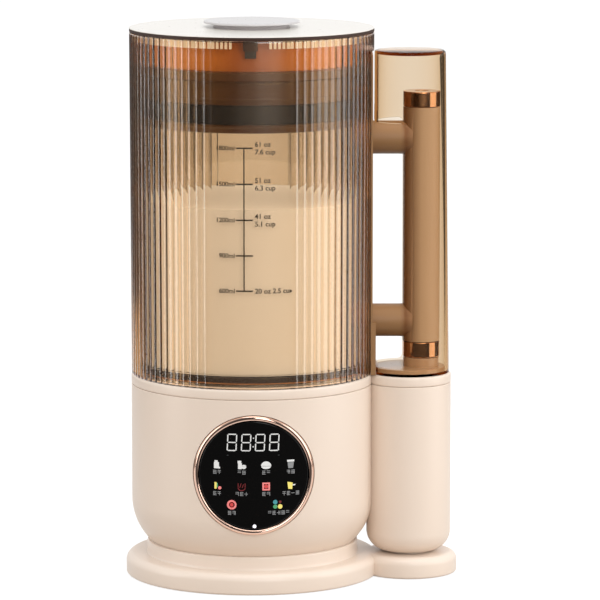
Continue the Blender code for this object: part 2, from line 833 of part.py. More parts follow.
def make_panel():
    """Rose gold bezel, black touch glass and the display board behind it."""
    bezel_thickness = BODY_WALL + BEZEL_PROUD
    curved_disc(
        "panel_bezel", PANEL_RADIUS, BEZEL_PROUD, bezel_thickness, parts, gold, glass_radius + CLEARANCE
    )
    curved_disc("panel_glass", glass_radius, GLASS_PROUD, GLASS_THICKNESS, parts, black_glass)
    glass_back = BODY_RADIUS + GLASS_PROUD - GLASS_THICKNESS
    board_front = glass_back - BOARD_SETBACK
    board = cross_rod(
        "display_board",
        BOARD_RADIUS,
        (PANEL_SHIFT, -board_front, panel_height),
        (PANEL_SHIFT, -board_front + BOARD_THICKNESS, panel_height),
        parts,
        board_green,
    )
    half = DISPLAY_WIDTH / 2
    display_front = math.sqrt(glass_back**2 - (half + PANEL_SHIFT) ** 2) - CLEARANCE
    centre = panel_height + DISPLAY_RISE
    display = block(
        "display_block",
        (PANEL_SHIFT - half, -display_front, centre - DISPLAY_HEIGHT / 2),
        (PANEL_SHIFT + half, -board_front + BOARD_THICKNESS / 2, centre + DISPLAY_HEIGHT / 2),
        cutters,
    )
    join(board, display)


def make_inlet():
    """Mains inlet socket let into the back of the body, with its three pins."""
    face = BODY_RADIUS + INLET_PROUD
    half_width = INLET_WIDTH / 2
    half_tall = INLET_TALL / 2
    socket = block(
        "inlet_socket",
        (-half_width, face - INLET_LENGTH, inlet_height - half_tall),
        (half_width, face, inlet_height + half_tall),
        parts,
        inner_black,
    )
    recess = block(
        "inlet_recess",
        (-RECESS_WIDTH / 2, face - RECESS_DEPTH, inlet_height - RECESS_TALL / 2),
        (RECESS_WIDTH / 2, face + OVERRUN, inlet_height + RECESS_TALL / 2),
        cutters,
    )
    cut(socket, recess)
    places = [(0, PIN_OFFSET), (-PIN_SPACING, -PIN_OFFSET), (PIN_SPACING, -PIN_OFFSET)]
    pin_front = face - RECESS_DEPTH + PIN_LENGTH
    pin_back = face - RECESS_DEPTH - PIN_TAIL
    for number, (x, rise) in enumerate(places, 1):
        z = inlet_height + rise
        low = Vector((x - PIN_WIDTH / 2, pin_back, z - PIN_TALL / 2))
        high = Vector((x + PIN_WIDTH / 2, pin_front, z + PIN_TALL / 2))
        block(f"inlet_pin_{number}", low, high, parts, brass)
        gap = Vector((CLEARANCE, 0, CLEARANCE))
        passage = block(f"pin_passage_{number}", low - gap, high + gap, cutters)
        cut(socket, passage)


def make_seat_deck():
    """Tray on top of the motor that takes the jug's skirt."""
    wall_top = body_top - DECK_RIM_DROP
    outer = body_inner - CLEARANCE
    inner = skirt_radius + SKIRT_GAP
    section = [
        (outer, wall_top),
        (outer, deck_bottom),
        (DECK_HOLE_RADIUS, deck_bottom),
        (DECK_HOLE_RADIUS, deck_top),
        (inner, deck_top),
        (inner, wall_top),
    ]
    turned("seat_deck", section, parts, inner_black)
    cover_top = body_top - COLUMN_COVER_DROP
    tube(
        "column_cover",
        column_inner - CLEARANCE,
        CONNECTOR_RADIUS + CLEARANCE,
        cover_top - COLUMN_COVER_THICKNESS,
        cover_top,
        parts,
        cream,
        SMALL_STEPS,
        x=column_x,
    )


def make_connectors():
    """Power connector between base and jug, in the column under the handle."""
    top = body_top - CONNECTOR_DROP
    cover_bottom = body_top - COLUMN_COVER_DROP - COLUMN_COVER_THICKNESS
    flange_high = cover_bottom - CLEARANCE
    flange_low = flange_high - CONNECTOR_FLANGE_THICKNESS
    recess = top - CONNECTOR_RECESS_DEPTH
    foot = top - CONNECTOR_BODY_LENGTH
    section = [
        (0, recess),
        (CONNECTOR_RECESS_RADIUS, recess),
        (CONNECTOR_RECESS_RADIUS, top),
        (CONNECTOR_RADIUS, top),
        (CONNECTOR_RADIUS, flange_high),
        (CONNECTOR_FLANGE, flange_high),
        (CONNECTOR_FLANGE, flange_low),
        (CONNECTOR_RADIUS, flange_low),
        (CONNECTOR_RADIUS, foot),
        (0, foot),
    ]
    turned("lower_connector", section, parts, inner_black, SMALL_STEPS, closed=False, x=column_x)


def make_rubber_mounts():
    """Rubber blocks that carry the motor under the deck."""
    top = deck_bottom - CLEARANCE
    for number, y in enumerate((-RUBBER_Y, RUBBER_Y), 1):
        rod(f"motor_mount_{number}", RUBBER_RADIUS, top - RUBBER_HEIGHT, top, parts, rubber, y=y)


def make_bracket(name, plate_bottom, post_end):
    """Bearing bracket: a bar across the motor with a bearing hub and two posts to the stator."""
    plate_top = plate_bottom + BRACKET_THICKNESS
    bar = block(name, (-BRACKET_X, -BRACKET_Y, plate_bottom), (BRACKET_X, BRACKET_Y, plate_top), parts, iron)
    middle = (plate_bottom + plate_top) / 2
    hub = rod(
        name + "_hub",
        HUB_RADIUS,
        middle - HUB_HEIGHT / 2,
        middle + HUB_HEIGHT / 2,
        cutters,
        steps=FOOT_STEPS,
    )
    join(bar, hub)
    low = min(middle, post_end)
    high = max(middle, post_end)
    for side in (-1, 1):
        post = rod(f"{name}_post_{side}", POST_RADIUS, low, high, cutters, steps=FOOT_STEPS, y=side * POST_Y)
        join(bar, post)
    bore = rod(
        name + "_bore", BEARING_RADIUS + CLEARANCE, middle - HUB_HEIGHT, middle + HUB_HEIGHT, cutters
    )
    cut(bar, bore)
    bearing_name = name.replace("bracket", "bearing")
    tube(
        bearing_name,
        BEARING_RADIUS,
        shaft_bore,
        middle - HUB_HEIGHT / 2,
        middle + HUB_HEIGHT / 2,
        parts,
        steel,
        SMALL_STEPS,
    )


def make_stator():
    """Laminated stator with two poles, each with its field coil."""
    stator = block(
        "stator", (-STATOR_X, -STATOR_Y, stator_bottom), (STATOR_X, STATOR_Y, stator_top), parts, iron
    )
    window = block(
        "stator_window",
        (STATOR_WALL - STATOR_X, STATOR_WALL - STATOR_Y, stator_bottom - OVERRUN),
        (STATOR_X - STATOR_WALL, STATOR_Y - STATOR_WALL, stator_top + OVERRUN),
        cutters,
    )
    poles = block(
        "stator_poles",
        (-STATOR_X + OVERRUN, -POLE_Y, stator_bottom),
        (STATOR_X - OVERRUN, POLE_Y, stator_top),
        cutters,
    )
    bore = rod(
        "stator_bore", STATOR_BORE, stator_bottom - OVERRUN, stator_top + OVERRUN, cutters, steps=ROUND_STEPS
    )
    cut(stator, window)
    join(stator, poles)
    cut(stator, bore)
    hole_y = POLE_Y + CLEARANCE
    coil_y = hole_y + COIL_WALL
    low = stator_bottom - CLEARANCE
    high = stator_top + CLEARANCE
    for number, side in enumerate((-1, 1), 1):
        near = min(side * COIL_X, side * (COIL_X + COIL_THICKNESS))
        far = max(side * COIL_X, side * (COIL_X + COIL_THICKNESS))
        coil = block(
            f"field_coil_{number}",
            (near, -coil_y, low - COIL_WALL),
            (far, coil_y, high + COIL_WALL),
            parts,
            copper,
        )
        hole = block(
            f"coil_hole_{number}", (near - OVERRUN, -hole_y, low), (far + OVERRUN, hole_y, high), cutters
        )
        cut(coil, hole)


def core_outline():
    """Round laminations with evenly spaced winding slots."""
    points = []
    pitch = 2 * math.pi / CORE_SLOT_COUNT
    floor = core_radius * (1 - CORE_SLOT_DEPTH_SHARE)
    half = pitch * CORE_SLOT_WIDTH_SHARE / 2
    for step in range(CORE_SLOT_COUNT):
        middle = step * pitch
        for radius, angle in (
            (core_radius, middle - pitch / 2),
            (core_radius, middle - half),
            (floor, middle - half),
            (floor, middle + half),
            (core_radius, middle + half),
        ):
            points.append((radius * math.cos(angle), radius * math.sin(angle)))
    return points


def make_armature():
    """Slotted core on its shaft, with commutator and cooling fan."""
    core = plate("armature", [core_outline()], stator_bottom, stator_top, parts, iron)
    shaft = rod("motor_shaft", SHAFT_RADIUS, fan_bottom, coupler_bottom + COUPLER_FLOOR / 2, cutters)
    join(core, shaft)
    top = stator_bottom - COMMUTATOR_GAP
    tube(
        "commutator", COMMUTATOR_RADIUS, shaft_bore, top - COMMUTATOR_HEIGHT, top, parts, copper, SMALL_STEPS
    )
    fan = rod("cooling_fan", FAN_RADIUS, fan_bottom, fan_bottom + FAN_PLATE, parts, inner_black)
    hub = rod("fan_hub", FAN_HUB_RADIUS, fan_bottom, fan_top, cutters, steps=FOOT_STEPS)
    join(fan, hub)
    for step in range(FAN_BLADE_COUNT):
        blade = block(
            f"fan_blade_{step}",
            (FAN_HUB_RADIUS - OVERRUN, -FAN_BLADE_THICKNESS / 2, fan_bottom + FAN_PLATE / 2),
            (FAN_RADIUS - CLEARANCE, FAN_BLADE_THICKNESS / 2, fan_top),
            cutters,
        )
        blade.rotation_euler.z = 2 * math.pi * step / FAN_BLADE_COUNT
        join(fan, blade)
    bore = rod("fan_bore", shaft_bore, fan_bottom - OVERRUN, fan_top + OVERRUN, cutters)
    cut(fan, bore)


def make_brush_holders():
    """Carbon brush boxes on the lower bracket, each side of the commutator."""
    start = COMMUTATOR_RADIUS + BRUSH_GAP
    bottom = lower_bracket_top + (HUB_HEIGHT - BRACKET_THICKNESS) / 2 + CLEARANCE
    for number, side in enumerate((-1, 1), 1):
        near = min(side * start, side * (start + BRUSH_LENGTH))
        far = max(side * start, side * (start + BRUSH_LENGTH))
        block(
            f"brush_holder_{number}",
            (-BRUSH_WIDTH / 2, near, bottom),
            (BRUSH_WIDTH / 2, far, bottom + BRUSH_HEIGHT),
            parts,
            brass,
        )


def make_power_board():
    """Upright power board hung from the deck behind the motor."""
    top = deck_bottom - CLEARANCE
    half = POWER_BOARD_WIDTH / 2
    back = POWER_BOARD_Y + BOARD_THICKNESS
    board = block(
        "power_board", (-half, POWER_BOARD_Y, top - POWER_BOARD_HEIGHT), (half, back, top), parts, board_green
    )
    middle = top - POWER_BOARD_HEIGHT / 2
    inside = POWER_BOARD_Y + BOARD_THICKNESS / 2
    capacitor = cross_rod(
        "capacitor",
        CAPACITOR_RADIUS,
        (half / 2, inside, middle),
        (half / 2, back + CAPACITOR_LENGTH, middle),
        cutters,
    )
    relay = block(
        "relay",
        (-half / 2 - RELAY_SIZE / 2, inside, middle - RELAY_SIZE / 2),
        (-half / 2 + RELAY_SIZE / 2, back + CAPACITOR_LENGTH, middle + RELAY_SIZE / 2),
        cutters,
    )
    join(board, capacitor, relay)


def tooth_outline(tip, root, width):
    """A round outline with square teeth standing out to the tip radius."""
    points = []
    half_tip = math.asin(width * TOOTH_TIP_SHARE / 2 / tip)
    half_root = math.asin(width / 2 / root)
    for step in range(TOOTH_COUNT):
        middle = 2 * math.pi * step / TOOTH_COUNT
        for radius, angle in (
            (root, middle - math.pi / TOOTH_COUNT),
            (root, middle - half_root),
            (tip, middle - half_tip),
            (tip, middle + half_tip),
            (root, middle + half_root),
        ):
            points.append((radius * math.cos(angle), radius * math.sin(angle)))
    return points


def make_couplers():
    """Cup with inner grooves on the motor and a toothed star on the blade shaft."""
    cup = rod("drive_coupler", COUPLER_RADIUS, coupler_bottom, coupler_top, parts, inner_black)
    root = COUPLER_CUP_RADIUS - TOOTH_DEPTH
    hollow = plate(
        "cup_hollow",
        [tooth_outline(COUPLER_CUP_RADIUS, root, TOOTH_WIDTH)],
        coupler_bottom + COUPLER_FLOOR,
        coupler_top + OVERRUN,
        cutters,
    )
    socket = rod(
        "cup_socket",
        shaft_bore,
        coupler_bottom - OVERRUN,
        coupler_bottom + COUPLER_FLOOR / 2 + CLEARANCE,
        cutters,
    )
    cut(cup, hollow, socket)
    star = plate(
        "driven_coupler",
        [tooth_outline(COUPLER_CUP_RADIUS - TOOTH_GAP, root - TOOTH_GAP, TOOTH_WIDTH - 2 * TOOTH_GAP)],
        star_bottom,
        star_top,
        parts,
        inner_black,
    )
    bore = rod("star_bore", shaft_bore, star_bottom - OVERRUN, star_top + OVERRUN, cutters)
    cut(star, bore)


def make_collar():
    """Cream figure-eight ring under the sleeve and handle, with the skirt that enters the base."""
    collar = plate(
        "jug_collar",
        [figure_outline(BODY_RADIUS, COLUMN_RADIUS)],
        collar_bottom,
        collar_top,
        parts,
        cream,
        COLLAR_EDGE,
        0,
    )
    sleeve_seat = sleeve_inner - CLEARANCE
    section = [
        (sleeve_seat, ring_top),
        (sleeve_seat, collar_top - COLLAR_EDGE),
        (skirt_radius, collar_top - COLLAR_EDGE),
        (skirt_radius, skirt_bottom),
        (skirt_radius - SKIRT_WALL, skirt_bottom),
        (skirt_radius - SKIRT_WALL, collar_bottom + COLLAR_EDGE),
        (collar_hole_radius - OVERRUN, collar_bottom + COLLAR_EDGE),
        (collar_hole_radius - OVERRUN, ring_top),
    ]
    skirt = turned("collar_skirt", section, cutters)
    hole = rod(
        "collar_hole",
        collar_hole_radius,
        collar_bottom - OVERRUN,
        ring_top + OVERRUN,
        cutters,
        steps=ROUND_STEPS,
    )
    connector_hole = rod(
        "connector_hole",
        CONNECTOR_RADIUS + CLEARANCE,
        collar_bottom - OVERRUN,
        collar_top + OVERRUN,
        cutters,
        x=column_x,
    )
    join(collar, skirt)
    cut(collar, hole, connector_hole)
    plug_bottom_height = collar_bottom - CONNECTOR_PLUG_DROP
    plug_section = [
        (0, collar_top),
        (CONNECTOR_RADIUS, collar_top),
        (CONNECTOR_RADIUS, collar_bottom),
        (CONNECTOR_PLUG_RADIUS, collar_bottom),
        (CONNECTOR_PLUG_RADIUS, plug_bottom_height),
        (0, plug_bottom_height),
    ]
    turned("upper_connector", plug_section, parts, inner_black, SMALL_STEPS, closed=False, x=column_x)


def make_heater():
    """Stainless pan with a raised floor, its gasket and the heating element under it."""
    flange = glass_outer + GASKET_PROUD
    wall = PAN_THICKNESS
    section = [
        (pan_floor_radius, pan_floor),
        (pan_wall_radius, pan_flange_top),
        (flange, pan_flange_top),
        (flange, pan_bottom),
        (pan_wall_radius - wall, pan_bottom),
        (pan_floor_radius - wall, pan_floor - wall),
        (PAN_HOLE_RADIUS, pan_floor - wall),
        (PAN_HOLE_RADIUS, pan_floor),
    ]
    turned("heater_pan", section, parts, steel, INNER_STEPS)
    tube(
        "jug_gasket",
        flange,
        pan_wall_radius + GASKET_PROUD,
        pan_flange_top + CLEARANCE,
        gasket_top,
        parts,
        silicone,
        INNER_STEPS,
    )
    height = pan_floor - wall - CLEARANCE - ELEMENT_RADIUS
    curve = bpy.data.curves.new("heating_element", "CURVE")
    curve.dimensions = "3D"
    curve.bevel_depth = ELEMENT_RADIUS
    curve.bevel_resolution = 1
    curve.use_fill_caps = True
    angles = [
        ELEMENT_GAP_ANGLE / 2 + (2 * math.pi - ELEMENT_GAP_ANGLE) * step / (ELEMENT_POINTS - 1)
        for step in range(ELEMENT_POINTS)
    ]
    ring = [(element_circle * math.cos(angle), element_circle * math.sin(angle), 0) for angle in angles]
    tails = [(x, y, -ELEMENT_TAIL) for x, y, _ in (ring[0], ring[-1])]
    route = [tails[0], *ring, tails[1]]
    spline = curve.splines.new("POLY")
    spline.points.add(len(route) - 1)
    for point, place in zip(spline.points, route):
        point.co = (*place, 1)
    from_curve("heating_element", curve, height, parts, iron)


def make_sleeve():
    """Amber sleeve with upright flutes all round but for a smooth window in front."""
    smooth = sleeve_radius - FLUTE_DEPTH / 2
    outer = []
    for step in range(FLUTE_COUNT * 2):
        angle = math.pi * step / FLUTE_COUNT
        off_front = abs(math.remainder(angle + math.pi / 2, 2 * math.pi))
        radius = sleeve_radius - (FLUTE_DEPTH if step % 2 else 0)
        if off_front < WINDOW_ANGLE:
            radius = smooth
        outer.append((radius * math.cos(angle), radius * math.sin(angle)))
    inner = ring_of_points(sleeve_radius - SLEEVE_WALL, FLUTE_COUNT)
    sleeve = plate("ribbed_sleeve", [outer, inner], sleeve_bottom, sleeve_top, parts, amber)
    for vertex in sleeve.data.vertices:
        if vertex.co.z < 0:
            radius = vertex.co.xy.length
            vertex.co.xy *= (radius - SLEEVE_DRAFT) / radius
    half = STRIP_WIDTH / 2 + CLEARANCE
    flat = block(
        "sleeve_flat",
        (strip_back - CLEARANCE, -half, sleeve_bottom - OVERRUN),
        (sleeve_radius + OVERRUN, half, shell_top),
        cutters,
    )
    cut(sleeve, flat)
    for number, height in enumerate((lower_arm_height, upper_arm_height), 1):
        hole = cross_rod(
            f"sleeve_screw_hole_{number}",
            SCREW_RADIUS + CLEARANCE,
            (glass_inner, 0, height),
            (sleeve_radius + OVERRUN, 0, height),
            cutters,
            steps=SMALL_STEPS // 2,
        )
        cut(sleeve, hole)


def make_glass_jug():
    """Plain glass cylinder inside the sleeve with a rounded rim."""
    section = [
        (glass_outer - GLASS_LIP, glass_top),
        (glass_outer, glass_top - GLASS_LIP),
        (glass_outer, glass_bottom),
        (glass_inner, glass_bottom),
        (glass_inner, glass_top - GLASS_LIP),
        (glass_inner + GLASS_LIP, glass_top),
    ]
    turned("glass_jug", section, parts, clear_glass)


def make_handle_shell():
    """Amber half-open column beside the sleeve, with the finger opening cut through it."""
    outer_section = [
        (0, shell_top),
        *corner(shell_top_radius - SHELL_ROUNDING, shell_top - SHELL_ROUNDING, SHELL_ROUNDING, 90, 0),
        (shell_foot_radius, sleeve_bottom),
        (0, sleeve_bottom),
    ]
    shell = turned("handle_shell", outer_section, parts, amber, SMALL_STEPS, closed=False, x=column_x)
    floor = sleeve_bottom + SHELL_FLOOR
    inner_section = [
        (0, shell_top - SHELL_WALL),
        (shell_top_radius - SHELL_WALL, shell_top - SHELL_WALL),
        (shell_foot_radius - SHELL_WALL, floor),
        (0, floor),
    ]
    hollow = turned("shell_hollow", inner_section, cutters, None, SMALL_STEPS, closed=False, x=column_x)
    back_wall = block(
        "shell_back_wall",
        (0, -shell_foot_radius, sleeve_bottom),
        (sleeve_radius + CLEARANCE + SHELL_WALL, shell_foot_radius, shell_top),
        cutters,
    )
    cut(hollow, back_wall)
    boss = rod(
        "grip_boss",
        GRIP_RADIUS - CLEARANCE,
        sleeve_bottom + SHELL_FLOOR / 2,
        floor + GRIP_SEAT,
        cutters,
        x=grip_axis,
    )
    beside = rod(
        "shell_sleeve_cut",
        sleeve_radius + CLEARANCE,
        sleeve_bottom - OVERRUN,
        shell_top + OVERRUN,
        cutters,
        steps=ROUND_STEPS * 2,
    )
    half = STRIP_WIDTH / 2 + CLEARANCE
    strip_room = block(
        "strip_room",
        (strip_back - OVERRUN, -half, sleeve_bottom - OVERRUN),
        (strip_face + CLEARANCE, half, shell_top + OVERRUN),
        cutters,
    )
    foot_room = block(
        "strip_foot_room",
        (strip_back - OVERRUN, -half, sleeve_bottom - OVERRUN),
        (strip_foot_face + CLEARANCE, half, lower_arm_height + CLEARANCE),
        cutters,
    )
    reach = shell_foot_radius + OVERRUN
    gap = block("finger_gap", (strip_back, -reach, gap_bottom), (gap_right, reach, gap_top), cutters)
    connector_room = rod(
        "connector_room",
        CONNECTOR_RADIUS / 2,
        sleeve_bottom - OVERRUN,
        floor - SHELL_FLOOR / 2,
        cutters,
        x=column_x,
    )
    cut(shell, hollow)
    join(shell, boss)
    cut(shell, beside, strip_room, foot_room, gap, connector_room)


def sleeve_inner_at(height):
    """The drafted sleeve's inner radius at a height."""
    return sleeve_inner + SLEEVE_DRAFT * (height - sleeve_bottom) / SLEEVE_HEIGHT


def make_handle():
    """Handle frame with two arms, the outer half of the grip and its two gold rings."""
    half = STRIP_WIDTH / 2
    strip_top = shell_top - SHELL_ROUNDING
    frame = block(
        "handle_frame", (strip_back, -half, sleeve_bottom), (strip_face, half, strip_top), parts, handle_brown
    )
    spine = rod("grip_spine", GRIP_RADIUS, grip_bottom, grip_top, cutters, steps=SMALL_STEPS, x=grip_axis)
    split = block(
        "spine_split",
        (grip_split - CLEARANCE / 2, -GRIP_RADIUS - OVERRUN, grip_bottom - OVERRUN),
        (grip_axis + GRIP_RADIUS + OVERRUN, GRIP_RADIUS + OVERRUN, grip_top + OVERRUN),
        cutters,
    )
    cut(spine, split)
    core_low = lower_ring_bottom + CLEARANCE
    core_high = upper_ring_bottom + RING_HEIGHT - CLEARANCE
    core = rod("grip_core", GRIP_CORE_RADIUS, core_low, core_high, cutters, x=grip_axis)
    strip_middle = strip_face - STRIP_THICKNESS / 2
    foot = block(
        "strip_foot",
        (strip_middle, -half, sleeve_bottom),
        (strip_foot_face, half, lower_arm_height),
        cutters,
    )
    join(frame, spine, core, foot)
    arms = ((lower_arm_height, LOWER_ARM_RADIUS), (upper_arm_height, UPPER_ARM_RADIUS))
    for number, (height, radius) in enumerate(arms, 1):
        screw_start = sleeve_inner_at(height - SCREW_HEAD_RADIUS) - CLEARANCE
        arm = cross_rod(
            f"handle_arm_{number}",
            radius,
            (strip_middle, 0, height),
            (grip_split - CLEARANCE, 0, height),
            cutters,
        )
        join(frame, arm)
        hole = cross_rod(
            f"arm_screw_hole_{number}",
            SCREW_RADIUS + CLEARANCE,
            (screw_start, 0, height),
            (screw_start + SCREW_LENGTH + CLEARANCE, 0, height),
            cutters,
            steps=SMALL_STEPS // 2,
        )
        cut(frame, hole)
        screw = cross_rod(
            f"handle_screw_{number}",
            SCREW_HEAD_RADIUS,
            (screw_start - SCREW_HEAD_HEIGHT, 0, height),
            (screw_start, 0, height),
            parts,
            steel,
            SMALL_STEPS // 2,
        )
        shank = cross_rod(
            f"screw_shank_{number}",
            SCREW_RADIUS,
            (screw_start - SCREW_HEAD_HEIGHT / 2, 0, height),
            (screw_start + SCREW_LENGTH, 0, height),
            cutters,
            steps=SMALL_STEPS // 2,
        )
        join(screw, shank)
    grip = rod("handle_grip", GRIP_RADIUS, grip_bottom, grip_top, parts, handle_beige, x=grip_axis)
    keep = block(
        "grip_split",
        (grip_axis - GRIP_RADIUS - OVERRUN, -GRIP_RADIUS - OVERRUN, grip_bottom - OVERRUN),
        (grip_split + CLEARANCE / 2, GRIP_RADIUS + OVERRUN, grip_top + OVERRUN),
        cutters,
    )
    bore = rod(
        "grip_bore",
        GRIP_CORE_RADIUS + CLEARANCE,
        grip_bottom - OVERRUN,
        grip_top + OVERRUN,
        cutters,
        x=grip_axis,
    )
    cut(grip, keep, bore)
    for number, low in enumerate((lower_ring_bottom, upper_ring_bottom), 1):
        high = low + RING_HEIGHT
        section = [
            (GRIP_RADIUS - RING_CHAMFER, high),
            (GRIP_RADIUS, high - RING_CHAMFER),
            (GRIP_RADIUS, low + RING_CHAMFER),
            (GRIP_RADIUS - RING_CHAMFER, low),
            (GRIP_CORE_RADIUS + CLEARANCE, low),
            (GRIP_CORE_RADIUS + CLEARANCE, high),
        ]
        turned(f"grip_ring_{number}", section, parts, gold, SMALL_STEPS, x=grip_axis)


def make_blade(name, bottom, bend, turn):
    """Two-armed cutter: a flat hub with tapered arms bent up or down."""
    top = bottom + BLADE_THICKNESS
    hub = rod(name, HUB_DISC_RADIUS, bottom, top, parts, steel)
    for side in (0, 1):
        mesh = bpy.data.meshes.new(f"{name}_arm_{side}")
        shape = bmesh.new()
        size = Matrix.Diagonal((BLADE_REACH, BLADE_ROOT, BLADE_THICKNESS, 1))
        shift = Matrix.Translation((BLADE_REACH / 2, 0, BLADE_THICKNESS / 2))
        bmesh.ops.create_cube(shape, size=1, matrix=shift @ size)
        for vertex in shape.verts:
            if vertex.co.x > BLADE_REACH / 2:
                vertex.co.y *= BLADE_TIP / BLADE_ROOT
        root = Matrix.Translation((HUB_DISC_RADIUS - BLADE_THICKNESS, 0, bottom))
        around = Matrix.Rotation(turn + math.pi * side, 4, "Z")
        bmesh.ops.transform(shape, matrix=around @ root @ Matrix.Rotation(-bend, 4, "Y"), verts=shape.verts)
        shape.to_mesh(mesh)
        shape.free()
        join(hub, add_object(mesh.name, mesh, cutters))
    bore = rod(name + "_bore", shaft_bore, bottom - OVERRUN, top + OVERRUN, cutters)
    cut(hub, bore)


def make_blades():
    """Blade shaft in its bearing housing, two crossed cutters and the dome nut."""
    section = [
        (shaft_bore, housing_top),
        (HOUSING_RADIUS - HOUSING_CHAMFER, housing_top),
        (HOUSING_RADIUS, housing_top - HOUSING_CHAMFER),
        (HOUSING_RADIUS, pan_floor - PAN_THICKNESS - CLEARANCE),
        (HOUSING_FLANGE_RADIUS, pan_floor - PAN_THICKNESS - CLEARANCE),
        (HOUSING_FLANGE_RADIUS, pan_floor - PAN_THICKNESS - CLEARANCE - HOUSING_FLANGE),
        (HOUSING_RADIUS, pan_floor - PAN_THICKNESS - CLEARANCE - HOUSING_FLANGE),
        (HOUSING_RADIUS, housing_bottom),
        (shaft_bore, housing_bottom),
    ]
    turned("bearing_housing", section, parts, steel, SMALL_STEPS)
    shaft_low = star_bottom + CLEARANCE
    rod("blade_shaft", SHAFT_RADIUS, shaft_low, nut_bottom + NUT_HEIGHT / 2, parts, steel)
    make_blade("blade_lower", lower_blade_bottom, LOWER_BEND, 0)
    make_blade("blade_upper", lower_blade_bottom + blade_pitch, UPPER_BEND, math.pi / 2)
    nut = rod("blade_nut", NUT_RADIUS, nut_bottom, nut_bottom + NUT_HEIGHT, parts, steel, steps=6)
    dome_section = [
        (0, nut_bottom + NUT_HEIGHT + NUT_DOME),
        (NUT_RADIUS / 2, nut_bottom + NUT_HEIGHT + NUT_DOME * 3 / 4),
        (NUT_RADIUS * 3 / 4, nut_bottom + NUT_HEIGHT - CLEARANCE),
        (0, nut_bottom + NUT_HEIGHT - CLEARANCE),
    ]
    dome = turned("nut_dome", dome_section, cutters, None, SMALL_STEPS // 2, closed=False)
    bore = rod("nut_bore", shaft_bore, nut_bottom - OVERRUN, nut_bottom + NUT_HEIGHT / 2 + CLEARANCE, cutters)
    join(nut, dome)
    cut(nut, bore)


def make_lid():
    """Lid plate over the sleeve's rim, the hollow plug under it, its seal and the lid key."""
    skirt_outer = sleeve_inner + SLEEVE_DRAFT - CLEARANCE
    skirt_bottom_height = lid_bottom - LID_SKIRT_DEPTH
    section = [
        (LID_BORE, lid_top),
        (sleeve_radius - LID_EDGE, lid_top),
        (sleeve_radius, lid_top - LID_EDGE),
        (sleeve_radius, lid_bottom),
        (skirt_outer, lid_bottom),
        (skirt_outer, skirt_bottom_height),
        (skirt_outer - LID_SKIRT_WALL, skirt_bottom_height),
        (skirt_outer - LID_SKIRT_WALL, lid_bottom),
        (LID_BORE, lid_bottom),
    ]
    turned("lid_plate", section, parts, lid_cream)
    feed_outer = LID_BORE + FEED_WALL
    inner = plug_radius - PLUG_WALL
    seal_top = flange_bottom - SEAL_DROP
    seal_bottom = seal_top - SEAL_HEIGHT
    shoulder = plug_radius + SEAL_SHOULDER
    upper = (seal_top + CLEARANCE, seal_top + CLEARANCE + SEAL_SHOULDER_HEIGHT)
    lower = (seal_bottom - CLEARANCE, seal_bottom - CLEARANCE - SEAL_SHOULDER_HEIGHT)
    plug_section = [
        (inner, plug_top),
        (plug_radius, plug_top),
        (plug_radius, flange_top),
        (plug_flange_radius, flange_top),
        (plug_flange_radius, flange_bottom),
        (plug_radius, flange_bottom),
        (plug_radius, upper[1]),
        (shoulder, upper[1]),
        (shoulder, upper[0]),
        (plug_radius, upper[0]),
        (plug_radius, lower[0]),
        (shoulder, lower[0]),
        (shoulder, lower[1]),
        (plug_radius, plug_bottom + PLUG_WALL / 2),
        (plug_radius - PLUG_WALL / 2, plug_bottom),
        (LID_BORE, plug_bottom),
        (LID_BORE, plug_top),
        (feed_outer, plug_top),
        (feed_outer, plug_bottom + PLUG_WALL),
        (inner, plug_bottom + PLUG_WALL),
    ]
    turned("lid_plug", plug_section, parts, amber, INNER_STEPS)
    seal_inner = plug_radius + CLEARANCE
    seal_section = [(seal_inner, seal_top)]
    pitch = SEAL_HEIGHT / SEAL_LIP_COUNT
    for lip in range(SEAL_LIP_COUNT):
        top = seal_top - lip * pitch
        seal_section.append((seal_radius - SEAL_LIP, top))
        seal_section.append((seal_radius, top - pitch / 2))
    seal_section.append((seal_radius - SEAL_LIP, seal_bottom))
    seal_section.append((seal_inner, seal_bottom))
    turned("lid_seal", seal_section, parts, silicone, INNER_STEPS)
    key_front = skirt_outer - LID_SKIRT_WALL - CLEARANCE
    block(
        "lid_key",
        (-KEY_WIDTH / 2, -key_front + SEAL_LIP / 2, lid_bottom - CLEARANCE - KEY_HEIGHT),
        (KEY_WIDTH / 2, -key_front + KEY_DEPTH, lid_bottom - CLEARANCE),
        parts,
        inner_black,
    )


def make_cap():
    """Round cap over the feed hole: a wide disc on a neck, with a hollow plug under it."""
    top = cap_bottom + CAP_THICKNESS
    foot = lid_top - LID_THICKNESS / 2
    section = [
        (0, top),
        (CAP_RADIUS - CAP_CHAMFER, top),
        (CAP_RADIUS, top - CAP_CHAMFER),
        (CAP_RADIUS, cap_bottom),
        (cap_neck_radius, cap_bottom),
        (cap_neck_radius, foot),
        (0, foot),
    ]
    turned("cap_knob", section, parts, cap_grey, closed=False)
    plug_high = foot - CLEARANCE
    plug_low = plug_high - CAP_PLUG_DEPTH
    inner = cap_neck_radius - CAP_PLUG_WALL
    plug_section = [
        (0, plug_high),
        (cap_neck_radius, plug_high),
        (cap_neck_radius, plug_low),
        (inner, plug_low),
        (inner, plug_high - CAP_PLUG_WALL),
        (0, plug_high - CAP_PLUG_WALL),
    ]
    turned("cap_plug", plug_section, parts, inner_black, closed=False)


